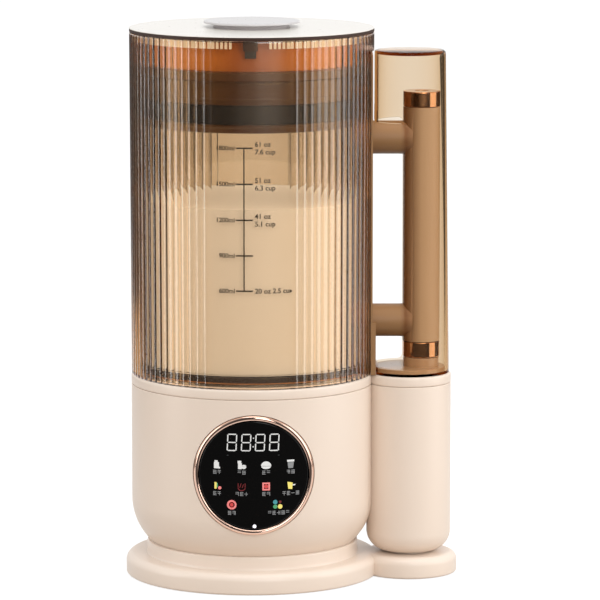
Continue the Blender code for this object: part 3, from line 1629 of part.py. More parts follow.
def smooth_parts():
    """Applies each part's modifiers and shades its round faces smooth."""
    bpy.context.view_layer.update()
    graph = bpy.context.evaluated_depsgraph_get()
    solids = [item for item in parts.objects if item.type == "MESH"]
    finished = [(item, bpy.data.meshes.new_from_object(item.evaluated_get(graph))) for item in solids]
    for item, mesh in finished:
        material = item.data.materials[0]
        item.modifiers.clear()
        item.data = mesh
        mesh.name = item.name
        mesh.materials.clear()
        mesh.materials.append(material)
        mesh.shade_smooth()
        mesh.set_sharp_from_angle(angle=math.radians(30))


make_feet()
make_base_plinth()
make_base_cover()
make_body_shell()
make_panel()
make_inlet()
make_seat_deck()
make_connectors()
make_rubber_mounts()
make_bracket("top_bracket", bracket_bottom, stator_top + CLEARANCE)
make_bracket("lower_bracket", lower_bracket_bottom, stator_bottom - CLEARANCE)
make_stator()
make_armature()
make_brush_holders()
make_power_board()
make_couplers()
make_collar()
make_heater()
make_sleeve()
make_glass_jug()
make_handle_shell()
make_handle()
make_blades()
make_lid()
make_cap()
smooth_parts()
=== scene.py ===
import bmesh
import bpy
import numpy as np
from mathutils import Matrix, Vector


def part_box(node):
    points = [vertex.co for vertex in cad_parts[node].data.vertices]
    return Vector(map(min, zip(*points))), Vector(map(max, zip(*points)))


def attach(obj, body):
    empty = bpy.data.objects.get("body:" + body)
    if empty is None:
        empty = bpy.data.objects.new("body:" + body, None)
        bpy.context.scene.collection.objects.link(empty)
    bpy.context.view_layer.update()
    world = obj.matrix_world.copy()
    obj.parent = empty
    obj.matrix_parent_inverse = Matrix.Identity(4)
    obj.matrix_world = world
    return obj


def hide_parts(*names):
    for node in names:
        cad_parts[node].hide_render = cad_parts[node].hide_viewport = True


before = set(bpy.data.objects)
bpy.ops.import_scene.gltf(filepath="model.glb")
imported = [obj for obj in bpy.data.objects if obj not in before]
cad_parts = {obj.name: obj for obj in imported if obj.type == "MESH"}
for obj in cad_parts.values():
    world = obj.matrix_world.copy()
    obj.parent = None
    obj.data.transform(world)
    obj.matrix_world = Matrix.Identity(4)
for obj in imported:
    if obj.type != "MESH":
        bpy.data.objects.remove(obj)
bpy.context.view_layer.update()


# Studio: a strip of white paper that runs off behind the object, soft boxes, and a long lens a
# little above the jug. Beside the paper and in front of it the room is dim, so that metal, glass
# and ribs have something dark at their edges.
CAMERA_PLACE = (0.0053, -2.756, 0.567)
CAMERA_TILT = np.radians(81.8)
CAMERA_LENS = 271.1
FLOOR_REACH = 5.0
PAPER_SIDE, PAPER_FRONT = 0.6, -0.16


def paint(colour):
    """A colour given as the eye sees it, 0 to 255, as the linear light that the shaders take."""
    level = np.array(colour) / 255
    linear = np.where(level <= 0.04045, level / 12.92, ((level + 0.055) / 1.055) ** 2.4)
    return (*[float(value) for value in linear], 1.0)


def show(name, data):
    """A new object in the scene."""
    piece = bpy.data.objects.new(name, data)
    bpy.context.scene.collection.objects.link(piece)
    return piece


def new_finish(name):
    """A new material, its tree and its Principled shader."""
    finish = bpy.data.materials.new(name)
    finish.use_nodes = True
    return finish, finish.node_tree, finish.node_tree.nodes["Principled BSDF"]


def wire(tree, node, sockets):
    """Sets a node's inputs, each to a value or to what another node gives."""
    for name, value in sockets.items():
        if isinstance(value, bpy.types.NodeSocket):
            tree.links.new(value, node.inputs[name])
        else:
            node.inputs[name].default_value = value


def add(tree, kind, sockets, **settings):
    """A new shader node with its settings and its inputs."""
    node = tree.nodes.new("ShaderNode" + kind)
    for name, value in settings.items():
        setattr(node, name, value)
    wire(tree, node, sockets)
    return node


def along(tree, kind, output):
    """What a node gives as a direction or place, as X, Y and Z."""
    return add(tree, "SeparateXYZ", {0: add(tree, kind, {}).outputs[output]}).outputs


def ramp(tree, value, start, end, low=0.0, high=1.0, **settings):
    """A value that goes from low to high as another goes from start to end."""
    sockets = {"Value": value, "From Min": start, "From Max": end, "To Min": low, "To Max": high}
    return add(tree, "MapRange", sockets, **settings).outputs[0]


def mixed(tree, first, second, share=1.0, **settings):
    """A colour that turns to a second one by a share, or is multiplied by it."""
    sockets = {"A": first, "B": second, "Factor": share}
    return add(tree, "Mix", sockets, data_type="RGBA", **settings).outputs["Result"]


def noise(tree, scale, detail, stretch=None):
    """Noise in the object's own coordinates, which may be stretched."""
    place = add(tree, "TexCoord", {}).outputs["Object"]
    if stretch:
        place = add(tree, "Mapping", {"Vector": place, "Scale": stretch}).outputs[0]
    return add(tree, "TexNoise", {"Vector": place, "Scale": scale, "Detail": detail}).outputs["Fac"]


def for_rays(tree, kinds, before, shown=None):
    """The shader before, or for rays of some kinds the one that is shown to them."""
    path = add(tree, "LightPath", {})
    total = path.outputs[kinds[0]]
    for kind in kinds[1:]:
        total = add(tree, "Math", {0: total, 1: path.outputs[kind]}, operation="MAXIMUM").outputs[0]
    sockets = {0: total, 1: before}
    if shown:
        sockets[2] = shown
    return add(tree, "MixShader", sockets).outputs[0]


def floor_finish():
    """White paper that keeps the object's shadow: part of its white is its own. Gloss and clear
    plastic see it as a strip that fades out beside the object and in front of it."""
    finish, tree, shader = new_finish("sweep_paper")
    wire(tree, shader, {"Base Color": (0.44, 0.36, 0.29, 1), "Roughness": 0.9})
    place = along(tree, "TexCoord", "Object")
    side = add(tree, "Math", {0: place["X"]}, operation="ABSOLUTE").outputs[0]
    strip = add(tree, "Math", {
        0: ramp(tree, side, PAPER_SIDE + 0.08, PAPER_SIDE, 0.1),
        1: ramp(tree, place["Y"], PAPER_FRONT - 0.06, PAPER_FRONT, 0.1),
    }, operation="MULTIPLY")
    mirrored = add(tree, "Emission", {"Strength": strip.outputs[0]})
    shadow = add(tree, "BsdfDiffuse", {"Color": (0.33, 0.33, 0.33, 1)})
    glow = add(tree, "Emission", {"Strength": 0.84})
    seen = add(tree, "AddShader", {0: shadow.outputs[0], 1: glow.outputs[0]})
    paper = for_rays(tree, ("Is Glossy Ray", "Is Transmission Ray"), shader.outputs[0], mirrored.outputs[0])
    paper = for_rays(tree, ("Is Camera Ray",), paper, seen.outputs[0])
    wire(tree, tree.nodes["Material Output"], {"Surface": paper})
    return finish


def direction_ramp(tree, axis, start, end, low, high, both=False):
    """Brightness that changes softly with the direction's share along an axis, on both sides of
    it if asked."""
    share = along(tree, "TexCoord", "Generated")[axis]
    if both:
        share = add(tree, "Math", {0: share}, operation="ABSOLUTE").outputs[0]
    return ramp(tree, share, start, end, low, high, interpolation_type="SMOOTHSTEP")


def studio_room():
    """White to the eye, white behind it to gloss, brown beside it to clear plastic, and for all
    that is matt a soft light rather from above."""
    world = bpy.data.worlds.new("studio")
    bpy.context.scene.world = world
    world.use_nodes = True
    tree = world.node_tree
    matt = tree.nodes["Background"]
    wire(tree, matt, {"Color": direction_ramp(tree, "Z", -0.6, 0.8, 0.24, 0.66)})
    behind = direction_ramp(tree, "Y", -0.97, 0.2, 0.05, 1.0)
    beside = direction_ramp(tree, "X", 0.42, 0.12, 0.0, 1.0, both=True)
    beside = mixed(tree, (0.36, 0.22, 0.13, 1), (1, 1, 1, 1), beside)
    room = matt.outputs[0]
    shown = {"Is Glossy Ray": behind, "Is Transmission Ray": beside, "Is Camera Ray": (1, 1, 1, 1)}
    for kind, colour in shown.items():
        room = for_rays(tree, (kind,), room, add(tree, "Background", {"Color": colour}).outputs[0])
    wire(tree, tree.nodes["World Output"], {"Surface": room})


def soft_box(name, place, width, height, power):
    """An area lamp that looks at the middle of the jug."""
    lamp = bpy.data.lights.new(name, "AREA")
    lamp.shape = "RECTANGLE"
    lamp.size, lamp.size_y, lamp.energy = width, height, power
    holder = show(name, lamp)
    holder.location = place
    holder.rotation_euler = (Vector((0, 0, 0.17)) - holder.location).to_track_quat("-Z", "Y").to_euler()


def make_studio():
    mesh = bpy.data.meshes.new("floor")
    corners = [(x * FLOOR_REACH, y * FLOOR_REACH, 0) for x, y in ((-1, -1), (1, -1), (1, 1), (-1, 1))]
    mesh.from_pydata(corners, [], [(0, 1, 2, 3)])
    mesh.materials.append(floor_finish())
    show("floor", mesh)
    studio_room()
    soft_box("box_front", (0.6, -2.0, 0.9), 0.9, 1.4, 16)
    soft_box("box_right", (0.57, -0.15, 0.26), 0.42, 0.5, 1.2)
    soft_box("box_left", (-0.62, -0.16, 0.26), 0.2, 0.5, 0.85)
    soft_box("box_above", (0.1, -0.3, 1.8), 1.2, 1.0, 8.5)
    lens = bpy.data.cameras.new("camera")
    lens.lens, lens.clip_start, lens.clip_end = CAMERA_LENS, 0.1, 50
    camera = show("camera", lens)
    camera.location = CAMERA_PLACE
    camera.rotation_euler = (CAMERA_TILT, 0, 0)
    bpy.context.scene.camera = camera
    bpy.context.scene.view_settings.view_transform = "Standard"


make_studio()


# Plinth: the wide cream foot, moulded in one with the low round dais that the body stands on and
# the small neck under the column. A rounded edge runs round its figure-eight outline.
ROUND_COLUMNS, SLIM_COLUMNS = 192, 96


def middle(name, axis=0):
    """The middle of a node's box along an axis."""
    low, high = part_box(name)
    return (low[axis] + high[axis]) / 2


axis_x, column_x = middle("glass_jug"), middle("lower_connector")
DRUM_RADIUS, COLUMN_RADIUS = 0.0745, 0.026


def smooth(mesh):
    """Shades a mesh smooth, but for its sharp edges."""
    mesh.shade_smooth()
    mesh.set_sharp_from_angle(angle=np.radians(35))


def closed_mesh(name, corners, faces):
    """A piece from its corners and faces, which are turned outwards."""
    mesh = bpy.data.meshes.new(name)
    mesh.from_pydata(corners.tolist(), [], faces)
    shape = bmesh.new()
    shape.from_mesh(mesh)
    bmesh.ops.remove_doubles(shape, verts=shape.verts, dist=1e-7)
    bmesh.ops.recalc_face_normals(shape, faces=shape.faces)
    shape.to_mesh(mesh)
    shape.free()
    smooth(mesh)
    return show(name, mesh)


def surface(name, points, ring=False):
    """A piece from a grid of points. It wraps round its columns, and as a ring round its rows."""
    index = np.arange(points.size // 3).reshape(points.shape[:2])
    if ring:
        index = np.vstack([index, index[:1]])
    index = np.hstack([index, index[:, :1]])
    quads = np.stack([index[:-1, :-1], index[:-1, 1:], index[1:, 1:], index[1:, :-1]], -1)
    return closed_mesh(name, points.reshape(-1, 3), quads.reshape(-1, 4).tolist())


def rounded(corners, steps=6):
    """A profile of (radius, height, rounding) corners as points: each is a quadratic arc from
    one side to the next. A point a little beyond each end keeps the side's shading flat."""
    corners = np.array(corners, float)
    places, rounding = corners[:, :2], corners[:, 2]
    turn = np.linspace(0, 1, steps + 1)[:, None]
    points = []
    for number, place in enumerate(places):
        radius, ends, guards = rounding[number], [], []
        if radius == 0:
            points.append(place[None])
            continue
        for other in (number - 1, (number + 1) % len(places)):
            side = places[other] - place
            length = np.linalg.norm(side)
            ends.append(place + side / length * radius)
            spare = length - radius - rounding[other]
            guard = ends[-1] + side / length * min(0.0004, spare / 3)
            guards.append(guard[None] if spare > 0.0002 else np.zeros((0, 2)))
        arc = (1 - turn) ** 2 * ends[0] + 2 * turn * (1 - turn) * place + turn**2 * ends[1]
        points += [guards[0], arc, guards[1]]
    return np.vstack(points)


def bend(radius, height, curve, start, end, steps=12):
    """Arc of a profile about (radius, height), between two angles in degrees."""
    angle = np.radians(np.linspace(start, end, steps + 1))
    return np.stack([radius + curve * np.cos(angle), height + curve * np.sin(angle)], -1)


def upright(x, radius, angle, height):
    """Points round the upright line at x: (x + r cos a, r sin a, z)."""
    return np.stack([x + radius * np.cos(angle), radius * np.sin(angle), height + 0 * angle], -1)


def lathe(profile, x, columns=ROUND_COLUMNS):
    """Grid of a profile of (radius, height) turned round the upright line at x."""
    profile = np.asarray(profile)
    return upright(x, profile[:, :1], np.linspace(0, 2 * np.pi, columns, endpoint=False), profile[:, 1:])


def figure_eight(large, small, height):
    """Grid of rows that each run round two circles, the jug's and the column's, and turn from
    one to the other in the crease where they cross."""
    large, small, height = large[:, None], small[:, None], height[:, None]
    apart = column_x - axis_x
    crease_x = (apart**2 + large**2 - small**2) / (2 * apart)
    crease_y = np.sqrt(large**2 - crease_x**2)
    from_large, from_small = np.arctan2(crease_y, crease_x), np.arctan2(crease_y, crease_x - apart)
    share = np.linspace(0, 1, ROUND_COLUMNS, endpoint=False)
    angle = from_large + (2 * np.pi - 2 * from_large) * share
    wide = upright(axis_x, large, angle, height)
    share = np.linspace(0, 1, SLIM_COLUMNS, endpoint=False)
    angle = -from_small + 2 * from_small * share
    return np.concatenate([wide, upright(column_x, small, angle, height)], 1)


def rounded_slab(name, large, small, heights, sole, edge, steps):
    """A figure-eight slab with its lower and its upper edge rounded. Its flat ends are drawn in
    to the middles of the two circles."""
    under = bend(sole, heights[0] + sole, sole, -90, -180, steps)
    over = bend(edge, heights[1] - edge, edge, 180, 90, steps)
    inset, height = np.vstack([under, over]).T
    slab = figure_eight(large - inset, small - inset, height)
    ends = slab[[0, -1]]
    ends[:, :ROUND_COLUMNS, 0], ends[:, ROUND_COLUMNS:, 0], ends[..., 1] = axis_x, column_x, 0
    return surface(name, np.vstack([ends[:1], slab, ends[1:]]))


def tube(inner, outer, start, end, first=0, second=0):
    """Corners of a ring or disc between two heights, of which the outer ones may be rounded."""
    return [(inner, start, 0), (outer, start, first), (outer, end, second), (inner, end, 0)]


def turned(name, profile, columns=ROUND_COLUMNS, ring=False, x=axis_x):
    """A piece turned round an upright line from a profile of points or of corners."""
    if len(profile[0]) == 3:
        profile = rounded(profile)
    return surface(name, lathe(profile, x, columns), ring)


def speckled(name, colour, other, roughness, grain=900.0, bump=0.02, patch=9.0,
             metallic=0.0, coat=0.0, spread=0.06):
    """Plastic or metal with soft patches of two near colours, a grain in its gloss and a slight
    orange peel."""
    finish, tree, shader = new_finish(name)
    broad, fine = noise(tree, patch, 3), noise(tree, grain, 2)
    wire(tree, shader, {
        "Base Color": paint(colour) if colour == other else mixed(tree, paint(colour), paint(other), broad),
        "Roughness": ramp(tree, fine, 0, 1, roughness - spread, roughness + spread),
        "Normal": add(tree, "Bump", {"Strength": bump, "Distance": 0.0004, "Height": fine}).outputs[0],
        "Metallic": metallic,
        "Coat Weight": coat,
    })
    return finish


def opened(finish):
    """A finish's tree, its shader and what its base colour comes from."""
    tree = finish.node_tree
    shader = tree.nodes["Principled BSDF"]
    return tree, shader, shader.inputs["Base Color"].links[0].from_socket


def tune(finish, sockets):
    """Sets more inputs of a finish's shader."""
    wire(finish.node_tree, finish.node_tree.nodes["Principled BSDF"], sockets)


def dress(piece, finish, body, slot, *nodes):
    """Gives a piece its finish and body, and hides the nodes that it stands for; the slot is not used."""
    piece.data.materials.clear()
    piece.data.materials.append(finish)
    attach(piece, body)
    if nodes:
        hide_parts(*nodes)
    return piece


cream_plastic = speckled("cream_plastic", (240, 225, 211), (236, 220, 205), 0.36)


def carve(piece, cutter, operation="DIFFERENCE"):
    """Cuts another mesh out of a piece, or joins it on, and removes it."""
    change = piece.modifiers.new("carve", "BOOLEAN")
    change.operation = operation
    change.object = cutter
    change.solver = "EXACT"
    bpy.context.view_layer.update()
    made = bpy.data.meshes.new_from_object(piece.evaluated_get(bpy.context.evaluated_depsgraph_get()))
    piece.modifiers.clear()
    piece.data = made
    bpy.data.objects.remove(cutter)
    smooth(made)


# The drum's foot is an arc about this radius and height; the dais is dished to take it.
FOOT_AXIS, FOOT_CENTRE, FOOT_CURVE = 0.0385, 0.0478, 0.036


def make_plinth():
    low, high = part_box("base_plinth")
    rim = low.z + 0.0128
    plinth = rounded_slab("plinth", 0.07817, 0.03, (low.z, rim), 0.0016, 0.005, 10)
    cover_reach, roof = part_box("base_cover")[1].x - axis_x + 0.0003, rim - 0.0023
    carve(plinth, turned("cover_room", tube(0, cover_reach, low.z - 0.002, roof)))
    root, foot, shoulder, brow, neck = rim - 0.002, 0.0672, 0.0652, 0.065, 0.013
    side = rounded([(0, root, 0), (foot, root, 0), (shoulder, rim + 0.0006, 0.0012), (brow, high.z, 0.0012)])
    dish = bend(FOOT_AXIS, FOOT_CENTRE, FOOT_CURVE + 0.00015, -46.8, -56.3, 6)
    carve(plinth, turned("dais", np.vstack([side, dish, [(0, dish[-1, 1])]])), "UNION")
    carve(plinth, turned("neck", tube(0, neck, root, rim + 0.0005, 0, 0.0001), 64, x=column_x), "UNION")
    dress(plinth, cream_plastic, "base", "cream_plastic", "base_plinth")


make_plinth()


# Feet and bottom cover: black rubber pads under the plinth, and the round vent plate between them.
rubber = speckled("foot_rubber", (38, 37, 36), (28, 27, 27), 0.75, 500, 0.15)
black_plastic = speckled("black_plastic", (40, 39, 39), (30, 30, 31), 0.45, 700, 0.06)


def redress(finish, slot, *names):
    """A CAD node keeps its mesh and gets this finish."""
    for name in names:
        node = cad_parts[name]
        node.data.materials.clear()
        node.data.materials.append(finish)


redress(rubber, "black_rubber", "foot_1", "foot_2", "foot_3", "foot_4", "motor_mount_1", "motor_mount_2")
redress(black_plastic, "black_plastic", "base_cover")


# Body: one cream moulding, a thin drum with a deep rounded foot and the slim column that joins it
# in a crease. The round window in front takes the panel, the oblong one behind the mains inlet.
def brick(low, high):
    """Grid of a box between two corners, as a square loop carried up."""
    loop = np.array([(low[0], low[1]), (high[0], low[1]), (high[0], high[1]), (low[0], high[1])])
    flat = 0 * loop + (loop[0] + loop[2]) / 2
    rows = [(flat, low[2]), (loop, low[2]), (loop, high[2]), (flat, high[2])]
    return np.stack([np.insert(plan, 2, height, 1) for plan, height in rows])


def make_body():
    low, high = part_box("body_shell")
    drum_bottom, top = low.z + 0.004, high.z + 0.0002
    wall, fillet, waist = 0.003, 0.0125, 0.06

    def rim(radius):
        inner = radius - wall
        return rounded([(radius, waist, 0), (radius, top, 0.0004), (inner, top, 0.0006), (inner, waist, 0)])

    drum = np.vstack([
        [(0, drum_bottom)], bend(FOOT_AXIS, FOOT_CENTRE, FOOT_CURVE, -55.86, 0, 24), rim(DRUM_RADIUS),
        bend(FOOT_AXIS, FOOT_CENTRE, FOOT_CURVE - wall, 0, -54.3, 24), [(0, drum_bottom + wall)],
    ])
    column = np.vstack([
        [(0, low.z)], bend(COLUMN_RADIUS - fillet, low.z + fillet, fillet, -90, 0), rim(COLUMN_RADIUS),
        bend(COLUMN_RADIUS - fillet, low.z + fillet, fillet - wall, 0, -90), [(0, low.z + wall)],
    ])
    body = turned("body_moulding", drum)
    carve(body, turned("column_moulding", column, SLIM_COLUMNS, x=column_x), "UNION")
    back, front, reach = -0.04, -0.09, 0.0368
    window = lathe([(0, front), (reach, front), (reach, back), (0, back)], middle("panel_bezel"), 128)
    carve(body, surface("window", window[..., [0, 2, 1]] + (0, 0, middle("panel_bezel", 2))))
    inlet_low, inlet_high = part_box("inlet_socket")
    gap = Vector((0.0003, 0.002, 0.0003))
    carve(body, surface("inlet_window", brick(inlet_low - gap, inlet_high + gap)))
    dress(body, cream_plastic, "base", "cream_plastic", "body_shell")


make_body()


# Touch panel: a polished rose gold ring set in the drum's window, with a black glass in it that
# follows the drum's curve. Clock digits and pictograms shine through the glass.
panel_shift, panel_z = middle("panel_glass") - axis_x, middle("panel_glass", 2)
PANEL_PROUD = 0.0007
rose_gold = speckled("rose_gold", (240, 205, 186), (232, 190, 168), 0.1, 300, 0.01, 60,
                     metallic=1.0, spread=0.03)
panel_black = speckled("panel_black", (9, 9, 9), (12, 11, 11), 0.1, 200, 0.0, spread=0.02)
tune(panel_black, {"Specular IOR Level": 0.25})


def on_drum(across, up, proud):
    """Points of the panel laid on the drum, as far across and up as seen from the front."""
    radius = DRUM_RADIUS + proud
    return np.stack([axis_x + across, -np.sqrt(radius**2 - across**2), panel_z + up + 0 * across], -1)


def on_panel(profile):
    """Grid of a ring or disc set in the drum, from a profile of (radius, proud)."""
    return on_drum(*np.moveaxis(lathe(profile, panel_shift, 160), -1, 0))


def make_panel():
    flat = [(0.0333, -0.0028), (0.0365, -0.0028)]
    ring = np.vstack([flat, bend(0.0349, -0.0003, 0.0016, 0, 180, 20)])
    bezel = surface("bezel_ring", on_panel(ring), True)
    dress(bezel, rose_gold, "base", "rose_gold", "panel_bezel")
    rim, half, sunk = 0.033, 0.0165, -0.0014
    edge = rounded([(rim, sunk, 0), (rim, PANEL_PROUD, 0.0006), (half, PANEL_PROUD, 0)])[1:-1]
    disc = np.vstack([[(0, sunk), (half, sunk), (rim, sunk)], edge, [(half, PANEL_PROUD), (0, PANEL_PROUD)]])
    glass = surface("panel_face", on_panel(disc))
    dress(glass, panel_black, "base", "black_glass", "panel_glass")


def plain_glow(name, colour, strength):
    """A print that is lit from behind, a little uneven as such windows are; the lid's skirt teeth take the
    same glow as painted light.
    """
    finish = speckled(name, colour, colour, 0.5)
    tune(finish, {"Emission Color": paint(colour), "Emission Strength": strength})
    return finish


def prisms(name, outlines, place, low, high):
    """A piece of flat outlines, put in place at two depths and walled in between."""
    corners, faces, start = [], [], 0
    for outline in outlines:
        outline = np.asarray(outline, float)
        count = len(outline)
        corners += [place(*outline.T, depth) for depth in (low, high)]
        far = list(range(start, start + count))
        faces += [[k + count for k in far], far[::-1]]
        faces += [[k, after, after + count, k + count] for k, after in zip(far, far[1:] + far[:1])]
        start += 2 * count
    return closed_mesh(name, np.vstack(corners), faces)


def bar(x, y, width, height, lean=0.0):
    """A rectangle about a point, which may lean over."""
    across = np.array([-0.5, 0.5, 0.5, -0.5]) * width
    up = np.array([-0.5, -0.5, 0.5, 0.5]) * height
    return np.stack([x + across + up * lean, y + up], -1)


def blob(x, y, wide, tall=None, start=0, end=360, steps=20):
    """Part of an ellipse about a point, closed by its chord."""
    angle = np.radians(np.linspace(start, end, steps, endpoint=end - start < 360))
    return np.stack([x + wide * np.cos(angle), y + (tall or wide) * np.sin(angle)], -1)


def hoop(x, y, radius, line, start=0, end=360, steps=16):
    """An arc with a line's width, as short straight pieces."""
    inner, outer = (bend(x, y, reach, start, end, steps) for reach in (radius - line, radius))
    return [np.stack([inner[k], outer[k], outer[k + 1], inner[k + 1]]) for k in range(steps)]


def clock_digit(x, y, width, height, line, lean):
    """A figure eight of seven pointed bars."""
    half, tall, tip = width / 2, height / 2, line / 2
    level = np.array([
        (-half + tip, 0), (-half + line, tip), (half - line, tip),
        (half - tip, 0), (half - line, -tip), (-half + line, -tip),
    ])
    upright = np.array([
        (0, tip), (tip, line), (tip, tall - line), (0, tall - tip), (-tip, tall - line), (-tip, line),
    ])
    bars = [level * 0.94 + (0, rise) for rise in (tall - tip, 0, tip - tall)]
    bars += [upright * (1, 0.96) + (side * (half - tip), drop) for side in (-1, 1) for drop in (0, -tall)]
    return [np.stack([x + part[:, 0] + part[:, 1] * lean, y + part[:, 1]], -1) for part in bars]


def facet(x, y, *corners):
    """An outline given by its corners about a point."""
    return np.array(corners) + (x, y)


# The panel is laid out in millimetres from its middle: digits, two rows of four pictures, and a
# third row with a ring and four dots. Each colour has its shapes by column, row and kind.
MM = 0.001
DIGIT_PLACES = (-11.5, -2.95, 5.5, 14.0)
DIGIT_RISE = 20.3
ICON_PLACES = (-20.6, -5.7, 9.1, 23.9, -11.7, 16.1)
ICON_ROWS = (6.5, -6.6, -17.9)
CAPTION_DROP = 4.6
PRINTS = (
    ("white_prints", (206, 208, 208), 0.35, (
        (0, 0, bar, (-0.3, -0.5, 3.0, 3.8), (-0.5, 1.9, 1.9, 1.2), (1.4, -1.9, 1.0, 1.2)),
        (1, 0, bar, (-1.0, -0.6, 2.3, 3.7), (-1.3, 1.9, 2.2, 1.5)),
        (1, 0, blob, (1.3, -0.9, 1.5, 1.1, 0, 180, 12), (1.3, -1.0, 1.5, 1.4, 180, 360, 12)),
        (2, 0, blob, (0, -0.6, 3.1, 2.8, 0, 180, 18), (0, -0.8, 2.9, 1.6, 180, 360, 16)),
        (3, 0, facet, (0, 0, (-2.1, 1.5), (2.1, 1.5), (2.2, 2.7), (-2.2, 2.7))),
        (3, 1, bar, (1.9, 0.3, 1.6, 0.8, 0.9)),
    )),
    ("led_print", (236, 236, 248), 0.8, ()),
    ("dim_prints", (128, 130, 132), 0.3, (
        (3, 0, facet, (0, 0, (-1.4, -2.4), (1.4, -2.4), (1.9, 1.2), (-1.9, 1.2))),
    )),
    ("faint_line", (66, 72, 72), 0.1, ()),
    ("grey_signs", (128, 130, 132), 0.2, ()),
    ("red_prints", (196, 66, 66), 0.3, (
        (2, 1, blob, (0, 0, 1.25)), (4, 2, blob, (0, 0, 1.1)), (4, 2, hoop, (0, 0, 1.9, 0.35, 40, 320, 20)),
    )),
    ("dark_red_prints", (110, 26, 30), 0.2, (
        (1, 1, hoop, (0, -0.2, 2.6, 0.55, 200, 340)),
        (1, 1, bar, (-2.1, 0.6, 0.5, 2.6), (2.1, 0.6, 0.5, 2.6)),
        (1, 1, bar, (-0.7, 0.6, 0.5, 2.6, 0.3), (0.7, 0.2, 0.5, 2.2, 0.3)), (5, 2, blob, (1.395, 1.55, 0.8)),
    )),
    ("salmon_prints", (228, 128, 126), 0.3, (
        (0, 1, blob, (1.6, -1.2, 1.0)), (2, 1, bar, (0, 1.9, 4.6, 0.9), (0, -2.0, 4.6, 0.9)),
        (2, 1, bar, (-1.8, 0, 1.0, 3.0), (1.8, 0, 1.0, 3.0)), (4, 2, hoop, (0, 0, 2.9, 1.1, 0, 360, 28)),
    )),
    ("green_prints", (72, 150, 104), 0.3, (
        (0, 1, bar, (0.1, 0.4, 0.7, 2.6)), (5, 2, blob, (-1.55, -1.24, 1.25)),
    )),
    ("yellow_prints", (226, 212, 112), 0.3, (
        (0, 1, bar, (-0.9, 0.2, 1.3, 4.0)),
        (3, 1, facet, (0, 0, (-2.0, 2.4), (-1.5, -1.9), (0.9, -2.3), (1.2, 1.7))),
        (5, 2, blob, (1.395, -1.24, 1.4)),
    )),
    ("teal_print", (62, 140, 150), 0.3, ((5, 2, blob, (-1.55, 1.55, 1.35)),)),
)


def letter_like(x, y, number):
    """A small sign without a meaning, of up to three level and three upright strokes."""
    strokes = [(0, rise, 2.0, 0.36) for rise in (1.0, 0, -1.0)]
    strokes += [(side, 0, 0.36, 2.3) for side in (-0.7, 0.1, 0.8)]
    drawn = (number % 3, 1, number % 2, number % 2, number % 4, number % 5 < 2)
    return [bar(x + side, y + rise, *size) for (side, rise, *size), kept in zip(strokes, drawn) if kept]


def make_prints():
    """Own plain pictograms and signs, each colour as one piece just proud of the glass."""
    digits = [part for x in DIGIT_PLACES for part in clock_digit(x, DIGIT_RISE, 6.0, 10.6, 0.68, 0.05)]
    digits += [blob(1.5, DIGIT_RISE + 2.7, 0.42), blob(1.3, DIGIT_RISE - 2.5, 0.42)]
    signs = []
    first, second, third = ICON_ROWS
    captions = [(x, first - CAPTION_DROP, 2) for x in ICON_PLACES[:4]]
    captions += [(x, second - CAPTION_DROP, count) for x, count in zip(ICON_PLACES, (2, 3, 2, 4))]
    captions += [(ICON_PLACES[4], third - 5.0, 2), (16.6, third - 5.0, 5)]
    for number, (x, y, count) in enumerate(captions):
        for place in range(count):
            signs += letter_like(x + (place - (count - 1) / 2) * 2.7, y, number * 3 + place + 1)
    led, line = [blob(2.05, -31.0, 1.1)], [bar(1.3, 12.4, 32.0, 0.22)]
    sheets = {"white_prints": digits, "led_print": led, "faint_line": line, "grey_signs": signs}
    for name, colour, strength, pictures in PRINTS:
        outlines = sheets.get(name, [])
        for column, row, shape, *parts in pictures:
            for across, up, *sizes in parts:
                made = shape(ICON_PLACES[column] + across, ICON_ROWS[row] + up, *sizes)
                outlines += made if isinstance(made, list) else [made]
        flat = [outline * MM for outline in outlines]
        piece = prisms(name, flat, on_drum, PANEL_PROUD - 0.0001, PANEL_PROUD + 0.00008)
        dress(piece, plain_glow(name, colour, strength), "base", "black_glass")


make_panel()
make_prints()


# Mains inlet at the back: a black socket with three brass pins.
brass = speckled("brass", (214, 178, 104), (192, 152, 84), 0.28, 400, 0.03, 120, metallic=1.0)
redress(black_plastic, "black_plastic", "inlet_socket")
redress(brass, "brass", "inlet_pin_1", "inlet_pin_2", "inlet_pin_3", "brush_holder_1", "brush_holder_2")


# Inside the base: the motor hangs on rubber under the black seat deck, with its fan, brushes,
# windings and the two circuit boards. None of it shows until the jug is off or the shell open.
def brushed(name, colour, other, roughness, around=1.0):
    """Metal with fine lines: noise drawn out along one direction, in colour and in gloss."""
    finish, tree, shader = new_finish(name)
    lines = noise(tree, 1.0, 3, (90 * around, 90 * around, 2200))
    wire(tree, shader, {
        "Base Color": mixed(tree, paint(colour), paint(other), lines),
        "Roughness": ramp(tree, lines, 0, 1, roughness - 0.08, roughness + 0.08),
        "Metallic": 1.0,
    })
    return finish


steel = brushed("stainless_steel", (206, 205, 203), (176, 175, 174), 0.28)
laminated = brushed("lamination_steel", (120, 120, 124), (84, 84, 90), 0.42)
copper = brushed("copper_wire", (202, 126, 86), (150, 82, 52), 0.36)
board_green = speckled("circuit_board", (36, 104, 66), (24, 82, 52), 0.4, 260, 0.1, 240)
redress(steel, "stainless_steel", "top_bearing", "lower_bearing", "handle_screw_1", "handle_screw_2",
        "heating_element", "heater_pan", "bearing_housing", "blade_shaft", "blade_lower", "blade_upper",
        "blade_nut")
redress(laminated, "lamination_steel", "stator", "armature", "top_bracket", "lower_bracket")
redress(copper, "copper_wire", "field_coil_1", "field_coil_2", "commutator")
redress(board_green, "circuit_board", "display_board", "power_board")
redress(black_plastic, "black_plastic", "seat_deck", "lower_connector", "upper_connector", "cooling_fan",
        "drive_coupler", "driven_coupler", "lid_key", "cap_plug")
redress(cream_plastic, "cream_plastic", "column_cover")


